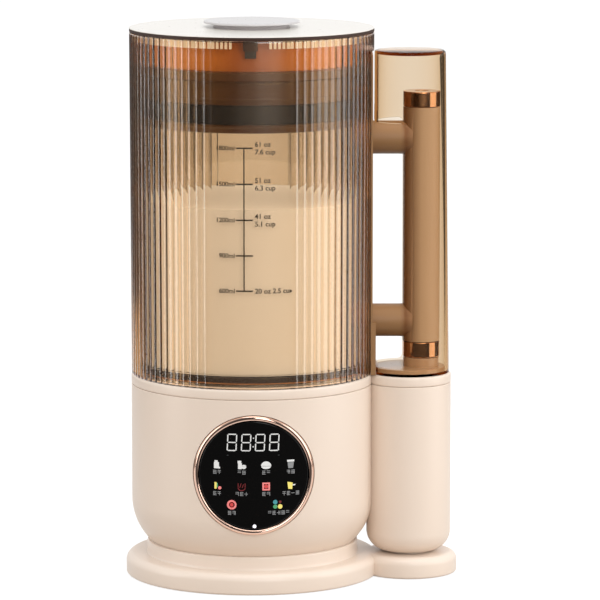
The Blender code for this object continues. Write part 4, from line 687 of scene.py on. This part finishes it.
# Collar: the cream ring under the jug. It carries on the drum's and the column's outline, sits on
# the base and has a skirt that drops into the deck.
def make_collar():
    low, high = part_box("jug_collar")
    bottom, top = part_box("body_shell")[1].z + 0.0003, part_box("ribbed_sleeve")[0].z - 0.0003
    edge, seat, skirt, lining, bore = 0.0009, 0.0707, 0.068, 0.0655, 0.059
    collar = rounded_slab("collar", DRUM_RADIUS, COLUMN_RADIUS, (bottom, top), edge, edge, 4)
    ring = [
        (bore, high.z, 0), (seat, high.z, 0.0004), (seat, top - edge, 0), (skirt, top - edge, 0),
        (skirt, low.z, 0.0005), (lining, low.z, 0.0005), (lining, bottom + edge, 0), (bore, bottom + edge, 0),
    ]
    carve(collar, turned("skirt", ring, ring=True), "UNION")
    carve(collar, turned("hole", tube(0, 0.062, bottom - 0.003, high.z + 0.003)))
    carve(collar, turned("plug_hole", tube(0, 0.0093, bottom - 0.003, top + 0.003), 48, x=column_x))
    dress(collar, cream_plastic, "jug", "cream_plastic", "jug_collar")


make_collar()


# Glass jug on its dark silicone gasket: a plain tube with rounded rims, printed with a scale.
CLEAR_TO = ("Is Shadow Ray", "Is Diffuse Ray")
RUBBER_BORE = 0.0643


def clear_finish(name, roughness, index, tint=(1, 1, 1, 1), absorb=None, density=0):
    """Clear stuff that bends and tints what is seen through it, and lets the light that falls
    on what is inside go straight through."""
    finish, tree, shader = new_finish(name)
    gloss = ramp(tree, noise(tree, 160, 2), 0, 1, roughness * 0.6, roughness * 1.4) if roughness else 0.0
    wire(tree, shader, {"Base Color": tint, "Transmission Weight": 1.0, "IOR": index, "Roughness": gloss})
    straight = add(tree, "BsdfTransparent", {}).outputs[0]
    made = {"Surface": for_rays(tree, CLEAR_TO, shader.outputs[0], straight)}
    if density:
        depth = add(tree, "VolumeAbsorption", {"Color": absorb, "Density": density}).outputs[0]
        made["Volume"] = for_rays(tree, CLEAR_TO, depth)
    wire(tree, tree.nodes["Material Output"], made)
    return finish


clear_glass = clear_finish("jug_glass", 0.0, 1.3, (0.99, 0.985, 0.975, 1))
seal_grey = speckled("grey_silicone", (17, 13, 12), (13, 10, 9), 0.6, 500, 0.08)
gasket_brown = speckled("gasket_silicone", (48, 37, 30), (40, 31, 25), 0.55, 500, 0.08)


def split_by_height(finish, below, level):
    """The finish as it is, but with another colour below a level."""
    tree, shader, colour = opened(finish)
    above = ramp(tree, along(tree, "TexCoord", "Object")["Z"], level - 0.0003, level + 0.0003)
    wire(tree, shader, {"Base Color": mixed(tree, paint(below), colour, above)})
    return finish


split_by_height(gasket_brown, (186, 128, 78), 0.1292)


def make_glass():
    low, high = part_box("glass_jug")
    outer, wall, lip, straight = high.x - axis_x, 0.003, 0.0008, 0.0015
    inner = outer - wall
    levels = [low.z + lip, low.z + straight, high.z - straight, high.z - lip]
    profile = [(outer - lip, low.z), *((outer, level) for level in levels)]
    profile += [(outer - lip * 0.3, high.z - lip * 0.3), (outer - lip, high.z), (inner + lip, high.z)]
    profile += [*((inner, level) for level in levels[::-1]), (inner + lip, low.z)]
    jug = turned("glass_wall", profile, 320, ring=True)
    dress(jug, clear_glass, "jug", "jug_glass", "glass_jug")
    low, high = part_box("jug_gasket")
    outer, inner = high.x - axis_x, RUBBER_BORE
    ring = [(outer, low.z, 0.0004), (outer, high.z, 0.0008), (inner, high.z, 0.0004), (inner, low.z, 0.0002)]
    gasket = turned("gasket", ring, ring=True)
    dress(gasket, gasket_brown, "jug", "grey_silicone", "jug_gasket")


make_glass()


# Soy milk, drawn up a little at the glass. It stands clear of the blades, which turn in a hollow
# of their own.
MILK_LEVEL = 0.233


def milk_finish():
    """Pale bean milk: nearly even, with faint slow clouds, and a painted glow that stands in for light, faint
    all over and stronger on its level top."""
    finish = speckled("soy_milk", (253, 246, 236), (250, 241, 227), 0.4, 120, 0.0, 14, spread=0.01)
    tree, shader, colour = opened(finish)
    # Painted light: the milk glows a little on its sides and more on its top.
    painted_milk_glow = ramp(tree, along(tree, "NewGeometry", "Normal")["Z"], 0.5, 0.98, 0.07, 0.42)
    wire(tree, shader, {"Emission Color": colour, "Emission Strength": painted_milk_glow})
    return finish


def make_milk():
    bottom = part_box("heater_pan")[1].z + 0.0003
    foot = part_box("glass_jug")[0].z + 0.0006
    reach, swirl, roof, creep = 0.0654, 0.037, 0.1625, MILK_LEVEL + 0.001
    outline = [
        (0, roof, 0), (swirl, roof, 0.001), (swirl, bottom, 0), (0.0603, bottom, 0), (0.0636, foot, 0),
        (reach, foot, 0.0004), (reach, creep, 0), (reach - 0.0004, creep, 0),
        (reach - 0.0016, MILK_LEVEL + 0.0002, 0.0008), (reach - 0.005, MILK_LEVEL, 0.001), (0, MILK_LEVEL, 0),
    ]
    milk = turned("soy_milk", outline, 256)
    milk.data.materials.append(milk_finish())
    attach(milk, "jug")


make_milk()


# Ribbed sleeve: the amber outer jacket, one thick moulding with upright ribs all round, but for
# a smooth window over the scale, one across from it, and a flat where the handle's strip lies.
RIB_COUNT, RIB_COLUMNS = 88, 18
RIB_DEPTH, RIB_POWER = 0.0006, 2.8
WINDOW_RIBS = 4.5
RIM_RADIUS, STRIP_HALF = 0.075, 0.0168
amber_jacket = clear_finish("amber_jacket", 0.012, 1.45, absorb=(0.78, 0.47, 0.02, 1), density=222)
tune(amber_jacket, {"Coat Weight": 0.85, "Coat IOR": 1.7, "Coat Roughness": 0.16})


def make_sleeve():
    low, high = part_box("ribbed_sleeve")
    wall, draft, edge, tall = 0.0034, 0.0006, 0.0006, high.z - low.z
    soft = edge * 0.3
    count = RIB_COUNT * RIB_COLUMNS
    angle = np.arange(count) * 2 * np.pi / count - np.pi / 2
    from_front = (angle + np.pi / 2) * RIB_COUNT / (2 * np.pi)
    across = from_front - np.round(from_front)
    rib = RIB_DEPTH * np.abs(2 * across) ** RIB_POWER
    ribs_off = np.minimum(from_front, RIB_COUNT - from_front)
    rib = np.where(np.minimum(ribs_off, RIB_COUNT / 2 - ribs_off) < WINDOW_RIBS, RIB_DEPTH / 2, rib)
    strip_x, strip_top = 0.0727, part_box("handle_shell")[1].z
    beside = np.abs((angle + np.pi) % (2 * np.pi) - np.pi) < np.arctan2(STRIP_HALF, strip_x)

    def skin(height, inset):
        radius = RIM_RADIUS - draft * (high.z - height) / tall - rib - inset
        flat = np.where(beside & (height < strip_top), strip_x / np.cos(angle) - inset, radius)
        return np.minimum(radius, flat)

    def lining(height, inset):
        return RIM_RADIUS - wall - draft * (high.z - height) / tall + inset + 0 * angle

    heights = [low.z + edge, low.z + 0.0012, *np.linspace(low.z + 0.01, strip_top - 0.0002, 10)]
    heights += [strip_top + 0.0002, strip_top + 0.001, high.z - 0.0012, high.z - edge]
    rows = [(skin(low.z, edge), low.z), (skin(low.z, soft), low.z + soft)]
    rows += [(skin(height, 0), height) for height in heights]
    rows += [(skin(high.z, soft), high.z - soft), (skin(high.z, edge), high.z)]
    rows += [(lining(high.z, edge), high.z), (lining(high.z, 0), high.z - edge)]
    rows += [(lining(low.z, 0), low.z + edge), (lining(low.z, edge), low.z)]
    radius, level = (np.array(values) for values in zip(*rows))
    jacket = surface("ribbed_jacket", upright(axis_x, radius, angle, level[:, None]), True)
    dress(jacket, amber_jacket, "jug", "amber_plastic", "ribbed_sleeve")


make_sleeve()


# Scale: fine brown lines and plain numbers, printed on the glass behind the smooth window.
SCALE_X = -4.0
MARKS = (
    (271.6, "1800ml", "61 oz", "7.6 cup"),
    (249.9, "1500ml", "51 oz", "6.3 cup"),
    (228.2, "1200ml", "41 oz", "5.1 cup"),
    (206.7, "900ml", "", ""),
    (185.3, "600ml", "20 oz 2.5 cup", ""),
)
scale_ink = speckled("scale_ink", (16, 8, 4), (12, 6, 3), 0.6)


def wrapped(radius):
    """Lays points round the jug's axis, as far across from the front along the radius."""
    def place(across, up, proud):
        turn, reach = across / radius, radius + proud
        return np.stack([axis_x + reach * np.sin(turn), -reach * np.cos(turn), up + 0 * across], -1)

    return place


on_glass = wrapped(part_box("glass_jug")[1].x - axis_x)


def lettering(name, words, size, across, up, to_left):
    """Flat outlines of a number, laid on the glass right or left of a place."""
    curve = bpy.data.curves.new(name, "FONT")
    curve.body, curve.extrude, curve.offset = words, 0.008, 0.018
    holder = show(name, curve)
    bpy.context.view_layer.update()
    mesh = bpy.data.meshes.new_from_object(holder.evaluated_get(bpy.context.evaluated_depsgraph_get()))
    bpy.data.objects.remove(holder)
    flat = np.zeros(len(mesh.vertices) * 3)
    mesh.vertices.foreach_get("co", flat)
    flat = flat.reshape(-1, 3) * size
    start = across - flat[:, 0].max() if to_left else across
    laid = on_glass(flat[:, 0] + start, flat[:, 1] + up, flat[:, 2] + 0.00006)
    mesh.vertices.foreach_set("co", laid.ravel())
    mesh.update()
    return show(name, mesh)


def make_scale():
    upper_end, lower_end = MARKS[0][0], MARKS[-1][0]
    lines = [bar(SCALE_X * MM, (upper_end + lower_end) / 2 * MM, 0.75 * MM, (upper_end - lower_end) * MM)]
    steps = np.linspace(-4.8, 5.2, 5) * MM
    for level, *_ in MARKS:
        for a, b in zip(steps, steps[1:]):
            lines.append(bar(SCALE_X * MM + (a + b) / 2, level * MM, b - a, 0.9 * MM))
    dress(prisms("scale_lines", lines, on_glass, 0.00002, 0.00009), scale_ink, "jug", "jug_glass")
    for level, millilitres, upper, lower in MARKS:
        rows = [(millilitres, 3.9, -5.6, -1.3), (lower, 4.2, 6.4, -3.7)]
        rows.insert(1, (upper, 4.2, 6.4, 0.9 if lower else -1.4))
        for number, (words, size, side, rise) in enumerate(rows):
            if words:
                place = (SCALE_X + side) * MM, (level + rise) * MM
                piece = lettering(f"scale_{millilitres}_{number}", words, size * MM, *place, side < 0)
                dress(piece, scale_ink, "jug", "jug_glass")


make_scale()


# Handle cover: a closed amber column beside the jug, thin-walled and tapered, with a flat side to
# the jug, a finger opening cut through front and back and a peg in its floor for the grip.
COVER_WALL = 0.0022
COVER_FLOOR = 0.0038
cover_low, cover_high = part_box("handle_shell")
amber_cover = clear_finish("amber_cover", 0.03, 1.12, absorb=(0.71, 0.42, 0.0, 1), density=175)
floor_tan = speckled("floor_tan", (186, 148, 112), (176, 138, 102), 0.3, 300, 0.02, coat=0.3)
GRIP_X, GRIP_RADIUS, GRIP_BORE = axis_x + 0.1041, 0.01135, 0.0043
LOWER_ARM, UPPER_ARM = 0.1576, 0.2708


def cover_radius(height):
    """The column is drafted: wide at its foot, narrow at its top."""
    return 0.0248 - (height - cover_low.z) / (cover_high.z - cover_low.z) * 0.0027


def column_skin(heights, inset, flat, columns=120, side_columns=12):
    """Rows that run round the column, inset from its skin, and straight across a flat side."""
    heights, inset = np.asarray(heights)[:, None], np.asarray(inset)[:, None]
    radius = cover_radius(heights) - inset
    start = np.arccos((flat - column_x) / radius)
    turn = start * np.linspace(-1, 1, columns)
    round_part = upright(column_x, radius, turn, heights)
    along = np.linspace(1, -1, side_columns + 2)[1:-1] * (radius * np.sin(start))
    flat_part = np.stack([flat + 0 * along, along, heights + 0 * along], -1)
    return np.concatenate([round_part, flat_part], 1)


def closed_ends(skin):
    """The grid with its first and last rows drawn in to a point."""
    ends = [np.repeat(row.mean(0)[None, None], skin.shape[1], 1) for row in (skin[0], skin[-1])]
    return np.vstack([ends[0], skin, ends[1]])


def rounded_opening(left, right, low, high, reach, corner=0.0028):
    """A block through the column from front to back, with its right corners rounded."""
    upper = bend(right - corner, high - corner, corner, 90, 0, 7)
    lower = bend(right - corner, low + corner, corner, 0, -90, 7)

    def place(across, up, depth):
        return np.stack([across, depth + 0 * across, up], -1)

    outline = np.vstack([[(left, low), (left, high)], upper, lower])
    return prisms("opening", [outline], place, -reach, reach)


def make_cover():
    low, high = cover_low.z, cover_high.z
    rounding, floor = 0.002, low + COVER_FLOOR
    inset, edge = bend(rounding, high - rounding, rounding, 180, 90, 6).T
    heights = np.array([low, *np.linspace(low + 0.002, high - 0.004, 24), *edge])
    inset = np.concatenate([np.zeros(25), inset])
    outline = [[(0, low)], np.stack([cover_radius(heights) - inset, heights], -1), [(0, high)]]
    cover = turned("handle_cover", np.vstack(outline), 144, x=column_x)
    heights = np.linspace(low + 0.0012, high - COVER_WALL, 26)
    hollow = closed_ends(column_skin(heights, 0 * heights + COVER_WALL, axis_x + 0.0775))
    carve(cover, surface("hollow", hollow))
    carve(cover, turned("jug_side", tube(0, 0.0753, low - 0.002, high + 0.002), 384))
    for name, depth, start, end in (("strip_room", 0.0743, low - 0.002, high + 0.002),
                                    ("foot_room", 0.0763, low - 0.003, LOWER_ARM + 0.0003)):
        strip = brick((axis_x + 0.06, -STRIP_HALF, start), (axis_x + depth, STRIP_HALF, end))
        carve(cover, surface(name, strip))
    carve(cover, rounded_opening(axis_x + 0.066, axis_x + 0.0928, 0.1303, 0.2812, 0.04))
    dress(cover, amber_cover, "jug", "amber_plastic", "handle_shell")
    heights = np.array([low + 0.0014, floor - 0.0003, floor])
    inset = np.array([0.0, 0.0, 0.0003]) + COVER_WALL + 0.0001
    plate = surface("cover_floor", closed_ends(column_skin(heights, inset, axis_x + 0.0777)))
    peg = tube(0, 0.01105, floor - 0.001, 0.1351, 0, 0.0006)
    carve(plate, turned("peg", peg, 64, x=GRIP_X), "UNION")
    dress(plate, floor_tan, "jug", "amber_plastic")


make_cover()


# Handle: a brown frame screwed to the jug, of a flat strip, two arms that widen into the grip, and
# the grip's inner half; a beige outer half clipped on; and a gold ring at each end.
# Colours across the handle from the jug outwards: brown, a darker band of painted shade on the grip's inner
# side, then beige.
GRIP_TONES_AND_SHADE = (
    (0.0, 154, 114, 72),
    (0.32, 154, 114, 72),
    (0.42, 130, 88, 54),
    (0.66, 190, 156, 120),
    (1.0, 194, 160, 124),
)


def grip_finish(name):
    """Brown plastic on the jug's side and beige on the outer side, with painted shade darkest on the grip's
    inner side between them, and painted light: paler on top, darker underneath.
    """
    finish = speckled(name, (255, 255, 255), (247, 245, 242), 0.48, 380, 0.03)
    tree, shader, colour = opened(finish)
    share = ramp(tree, along(tree, "TexCoord", "Object")["X"], GRIP_X - 0.025, GRIP_X + 0.012)
    blend = add(tree, "ValToRGB", {0: share})
    stops = blend.color_ramp.elements
    for number, (place, *shade) in enumerate(GRIP_TONES_AND_SHADE):
        stop = stops[number] if number < 2 else stops.new(place)
        stop.position, stop.color = place, paint(shade)
    tinted = mixed(tree, blend.outputs[0], colour, blend_type="MULTIPLY")
    # Painted light and shade: lighter where the surface faces up, darker where it faces down.
    painted_top_light = ramp(tree, along(tree, "NewGeometry", "Normal")["Z"], -0.8, 0.9, 0.62, 1.3)
    wire(tree, shader, {"Base Color": mixed(tree, tinted, painted_top_light, blend_type="MULTIPLY")})
    return finish


handle_brown = grip_finish("handle_frame")
handle_beige = grip_finish("handle_grip")
GRIP_SPLIT = axis_x + 0.099


def arm_grid(height, radius, start, end, flare):
    """An arm along x that flares where it runs into the grip: radius + flare * s^2."""
    x = np.concatenate([[start, start], np.linspace(start, end, 24), [end]])
    share = np.clip((x - (end - 0.009)) / 0.009, 0, 1)
    reach = radius + flare * share**2
    reach[0] = reach[-1] = 0
    return lathe(np.stack([reach, x], -1), 0, SLIM_COLUMNS)[..., [2, 0, 1]] + (0, 0, height)


def make_handle():
    low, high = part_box("handle_frame")
    start, end = (side.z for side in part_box("handle_grip"))
    far = GRIP_RADIUS + 0.002
    arms = surface("frame", brick(low, (low.x + 0.001, high.y, high.z)))
    foot = brick((low.x + 0.0005, low.y, low.z), (low.x + 0.003, high.y, LOWER_ARM))
    carve(arms, surface("foot", foot), "UNION")
    spine = turned("spine", tube(0, GRIP_RADIUS, start, end, 0.0003, 0.0003), 96, x=GRIP_X)
    outer_side = brick((GRIP_SPLIT - 0.00005, -far, start - far), (GRIP_X + far, far, end + far))
    carve(spine, surface("outer_side", outer_side))
    carve(arms, spine, "UNION")
    carve(arms, turned("core", tube(0, 0.004, low.z + 0.0102, 0.2991), 48, x=GRIP_X), "UNION")
    for height, radius in ((LOWER_ARM, 0.0101), (UPPER_ARM, 0.0102)):
        arm = arm_grid(height, radius, low.x + 0.0005, GRIP_SPLIT - 0.0004, 0.011 - radius)
        carve(arms, surface("arm", arm), "UNION")
    dress(arms, handle_brown, "jug", "handle_frame_plastic", "handle_frame")
    half = tube(GRIP_BORE, GRIP_RADIUS, start, end, 0.0003, 0.0003)
    half = turned("grip", half, 120, x=GRIP_X, ring=True)
    inner_side = brick((GRIP_X - far, -far, start - far), (GRIP_SPLIT + 0.00005, far, end + far))
    carve(half, surface("inner_side", inner_side))
    dress(half, handle_beige, "jug", "handle_plastic", "handle_grip")
    gold = brushed("ring_gold", (222, 178, 142), (190, 140, 104), 0.14, 12)
    for number in (1, 2):
        low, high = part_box(f"grip_ring_{number}")
        outline = [
            (GRIP_BORE, low.z, 0.0002), (GRIP_RADIUS, low.z, 0.0005),
            (GRIP_RADIUS, high.z, 0.0005), (GRIP_BORE, high.z, 0.0002),
        ]
        ring = turned(f"gold_ring_{number}", outline, 96, x=GRIP_X, ring=True)
        dress(ring, gold, "jug", "rose_gold", f"grip_ring_{number}")


make_handle()


# Lid: a pale disc over the sleeve's rim with a skirt inside it, a hollow amber plug under it whose
# flange rests on the glass, a dark silicone seal round the plug and a black lid key at the front.
lid_cream = speckled("lid_cream", (242, 238, 231), (239, 234, 226), 0.3, 300, 0.02, coat=0.2)
# Dark brown painted shade: the lid's side under its cream top, the ledge above the teeth and the latch block
# stand for the shadowed gap between lid and sleeve.
lid_gap_shade = speckled("lid_gap_shade", (62, 34, 20), (54, 30, 18), 0.6, 300, 0.02)
# The skirt's teeth glow a little: painted light that lifts them out of the shade under the lid.
skirt_painted_light = plain_glow("skirt_painted_light", (250, 236, 214), 0.2)
LID_BORE, PLUG_RADIUS, PLUG_HOLLOW = 0.0235, 0.064, 0.0615
FLANGE_RADIUS, FLANGE_LOW, FLANGE_HIGH = 0.0692, 0.3113, 0.3167
TEETH = 168


def plug_finish():
    """Amber plastic with painted light and shade: orange above the flange, where light falls in, brighter to
    the sides, and a painted darker brown below."""
    finish = speckled("plug_amber", (188, 104, 46), (178, 98, 42), 0.3, 260, 0.02, coat=0.3)
    tree, shader, colour = opened(split_by_height(finish, (84, 54, 34), 0.317))
    across = along(tree, "TexCoord", "Object")["X"]
    across = add(tree, "Math", {0: across, 1: axis_x}, operation="SUBTRACT").outputs[0]
    aside = add(tree, "Math", {0: across}, operation="ABSOLUTE").outputs[0]
    lit = mixed(tree, colour, (1.8, 2.3, 1.7, 1), blend_type="MULTIPLY", clamp_result=True)
    wire(tree, shader, {"Base Color": mixed(tree, colour, lit, ramp(tree, aside, 0.008, 0.042))})
    return finish


def make_lid():
    low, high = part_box("lid_plate")
    skirt, neck, bottom = 0.0713, 0.0735, high.z - 0.0024
    step = high.z - 0.0006
    band = [(neck, bottom, 0), (RIM_RADIUS, bottom, 0.0003), (RIM_RADIUS, step, 0.0001), (neck, step, 0)]
    dress(turned("lid_band", band, ring=True), lid_gap_shade, "lid", "lid_plastic")
    ledge = tube(skirt - 0.0015, skirt, bottom - 0.0014, bottom)
    dress(turned("lid_ledge", ledge, ring=True), lid_gap_shade, "lid", "lid_plastic")
    pitch = 2 * np.pi * skirt / TEETH
    places = (np.arange(TEETH) - (TEETH - 1) / 2) * pitch
    top = bottom - 0.0013
    teeth = [bar(place, top - 0.0019, pitch * 0.55, 0.0038) for place in places if abs(place) > 0.0112]
    dress(prisms("lid_teeth", teeth, wrapped(skirt), -0.0014, 0.0), skirt_painted_light, "lid", "lid_plastic")
    latch = [bar(0, top - 0.0024, 0.009, 0.0056)]
    dress(prisms("lid_latch", latch, wrapped(skirt), -0.0024, -0.0016), lid_gap_shade, "lid", "lid_plastic")
    step, neck = high.z - 0.0005, 0.0734
    disc = [
        (LID_BORE, high.z, 0.0004), (RIM_RADIUS, high.z, 0.0004), (RIM_RADIUS, step, 0.0001),
        (neck, step, 0), (neck, bottom, 0), (LID_BORE, bottom, 0),
    ]
    dress(turned("lid_disc", disc, ring=True), lid_cream, "lid", "lid_plastic", "lid_plate")
    foot, top = (side.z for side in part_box("lid_plug"))
    bead, tube_side, floor = 0.0648, LID_BORE + 0.002, foot + 0.0025
    plug = [
        (PLUG_HOLLOW, top, 0), (PLUG_RADIUS, top, 0.0005), (PLUG_RADIUS, FLANGE_HIGH, 0.0008),
        (FLANGE_RADIUS, FLANGE_HIGH, 0.0007), (FLANGE_RADIUS, FLANGE_LOW, 0.0007),
        (PLUG_RADIUS, FLANGE_LOW, 0.0006), (PLUG_RADIUS, 0.3005, 0), (bead, 0.3005, 0.0003),
        (bead, 0.2993, 0.0002), (PLUG_RADIUS, 0.2993, 0),
        (PLUG_RADIUS, 0.2847, 0), (bead, 0.2847, 0.0002), (bead, 0.2835, 0.0003),
        (PLUG_RADIUS, 0.2826, 0.0004), (0.0628, foot, 0.0009), (LID_BORE, foot, 0.0005),
        (LID_BORE, top, 0), (tube_side, top, 0), (tube_side, floor, 0.001), (PLUG_HOLLOW, floor, 0.001),
    ]
    dress(turned("plug", plug, ring=True), plug_finish(), "lid", "amber_plastic", "lid_plug")
    low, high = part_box("lid_seal")
    reach, upper = high.x - axis_x, 0.2968
    seal = [(reach, upper, 0.0012), (reach, low.z, 0.0012), (RUBBER_BORE, low.z, 0), (RUBBER_BORE, upper, 0)]
    dress(turned("seal", seal, ring=True), seal_grey, "lid", "grey_silicone", "lid_seal")


make_lid()


# Cap over the filling hole: a pale grey disc on a darker neck, with a black hollow plug below.
cap_grey = speckled("cap_grey", (209, 206, 206), (205, 202, 202), 0.3, 300, 0.02, coat=0.2)
neck_grey = speckled("neck_grey", (206, 199, 199), (198, 191, 191), 0.4, 300, 0.03)


def make_cap():
    low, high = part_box("cap_knob")
    edge, neck, under = high.x - axis_x, 0.0232, high.z - 0.0014
    disc = [(0, high.z, 0), (edge, high.z, 0.0007), (edge, under, 0.0004)]
    disc += [(neck - 0.0002, under, 0), (0, under, 0)]
    dress(turned("cap_disc", disc), cap_grey, "cap", "cap_plastic", "cap_knob")
    dress(turned("cap_neck", tube(0, neck, under, low.z, 0, 0.0003)), neck_grey, "cap", "cap_plastic")


make_cap()
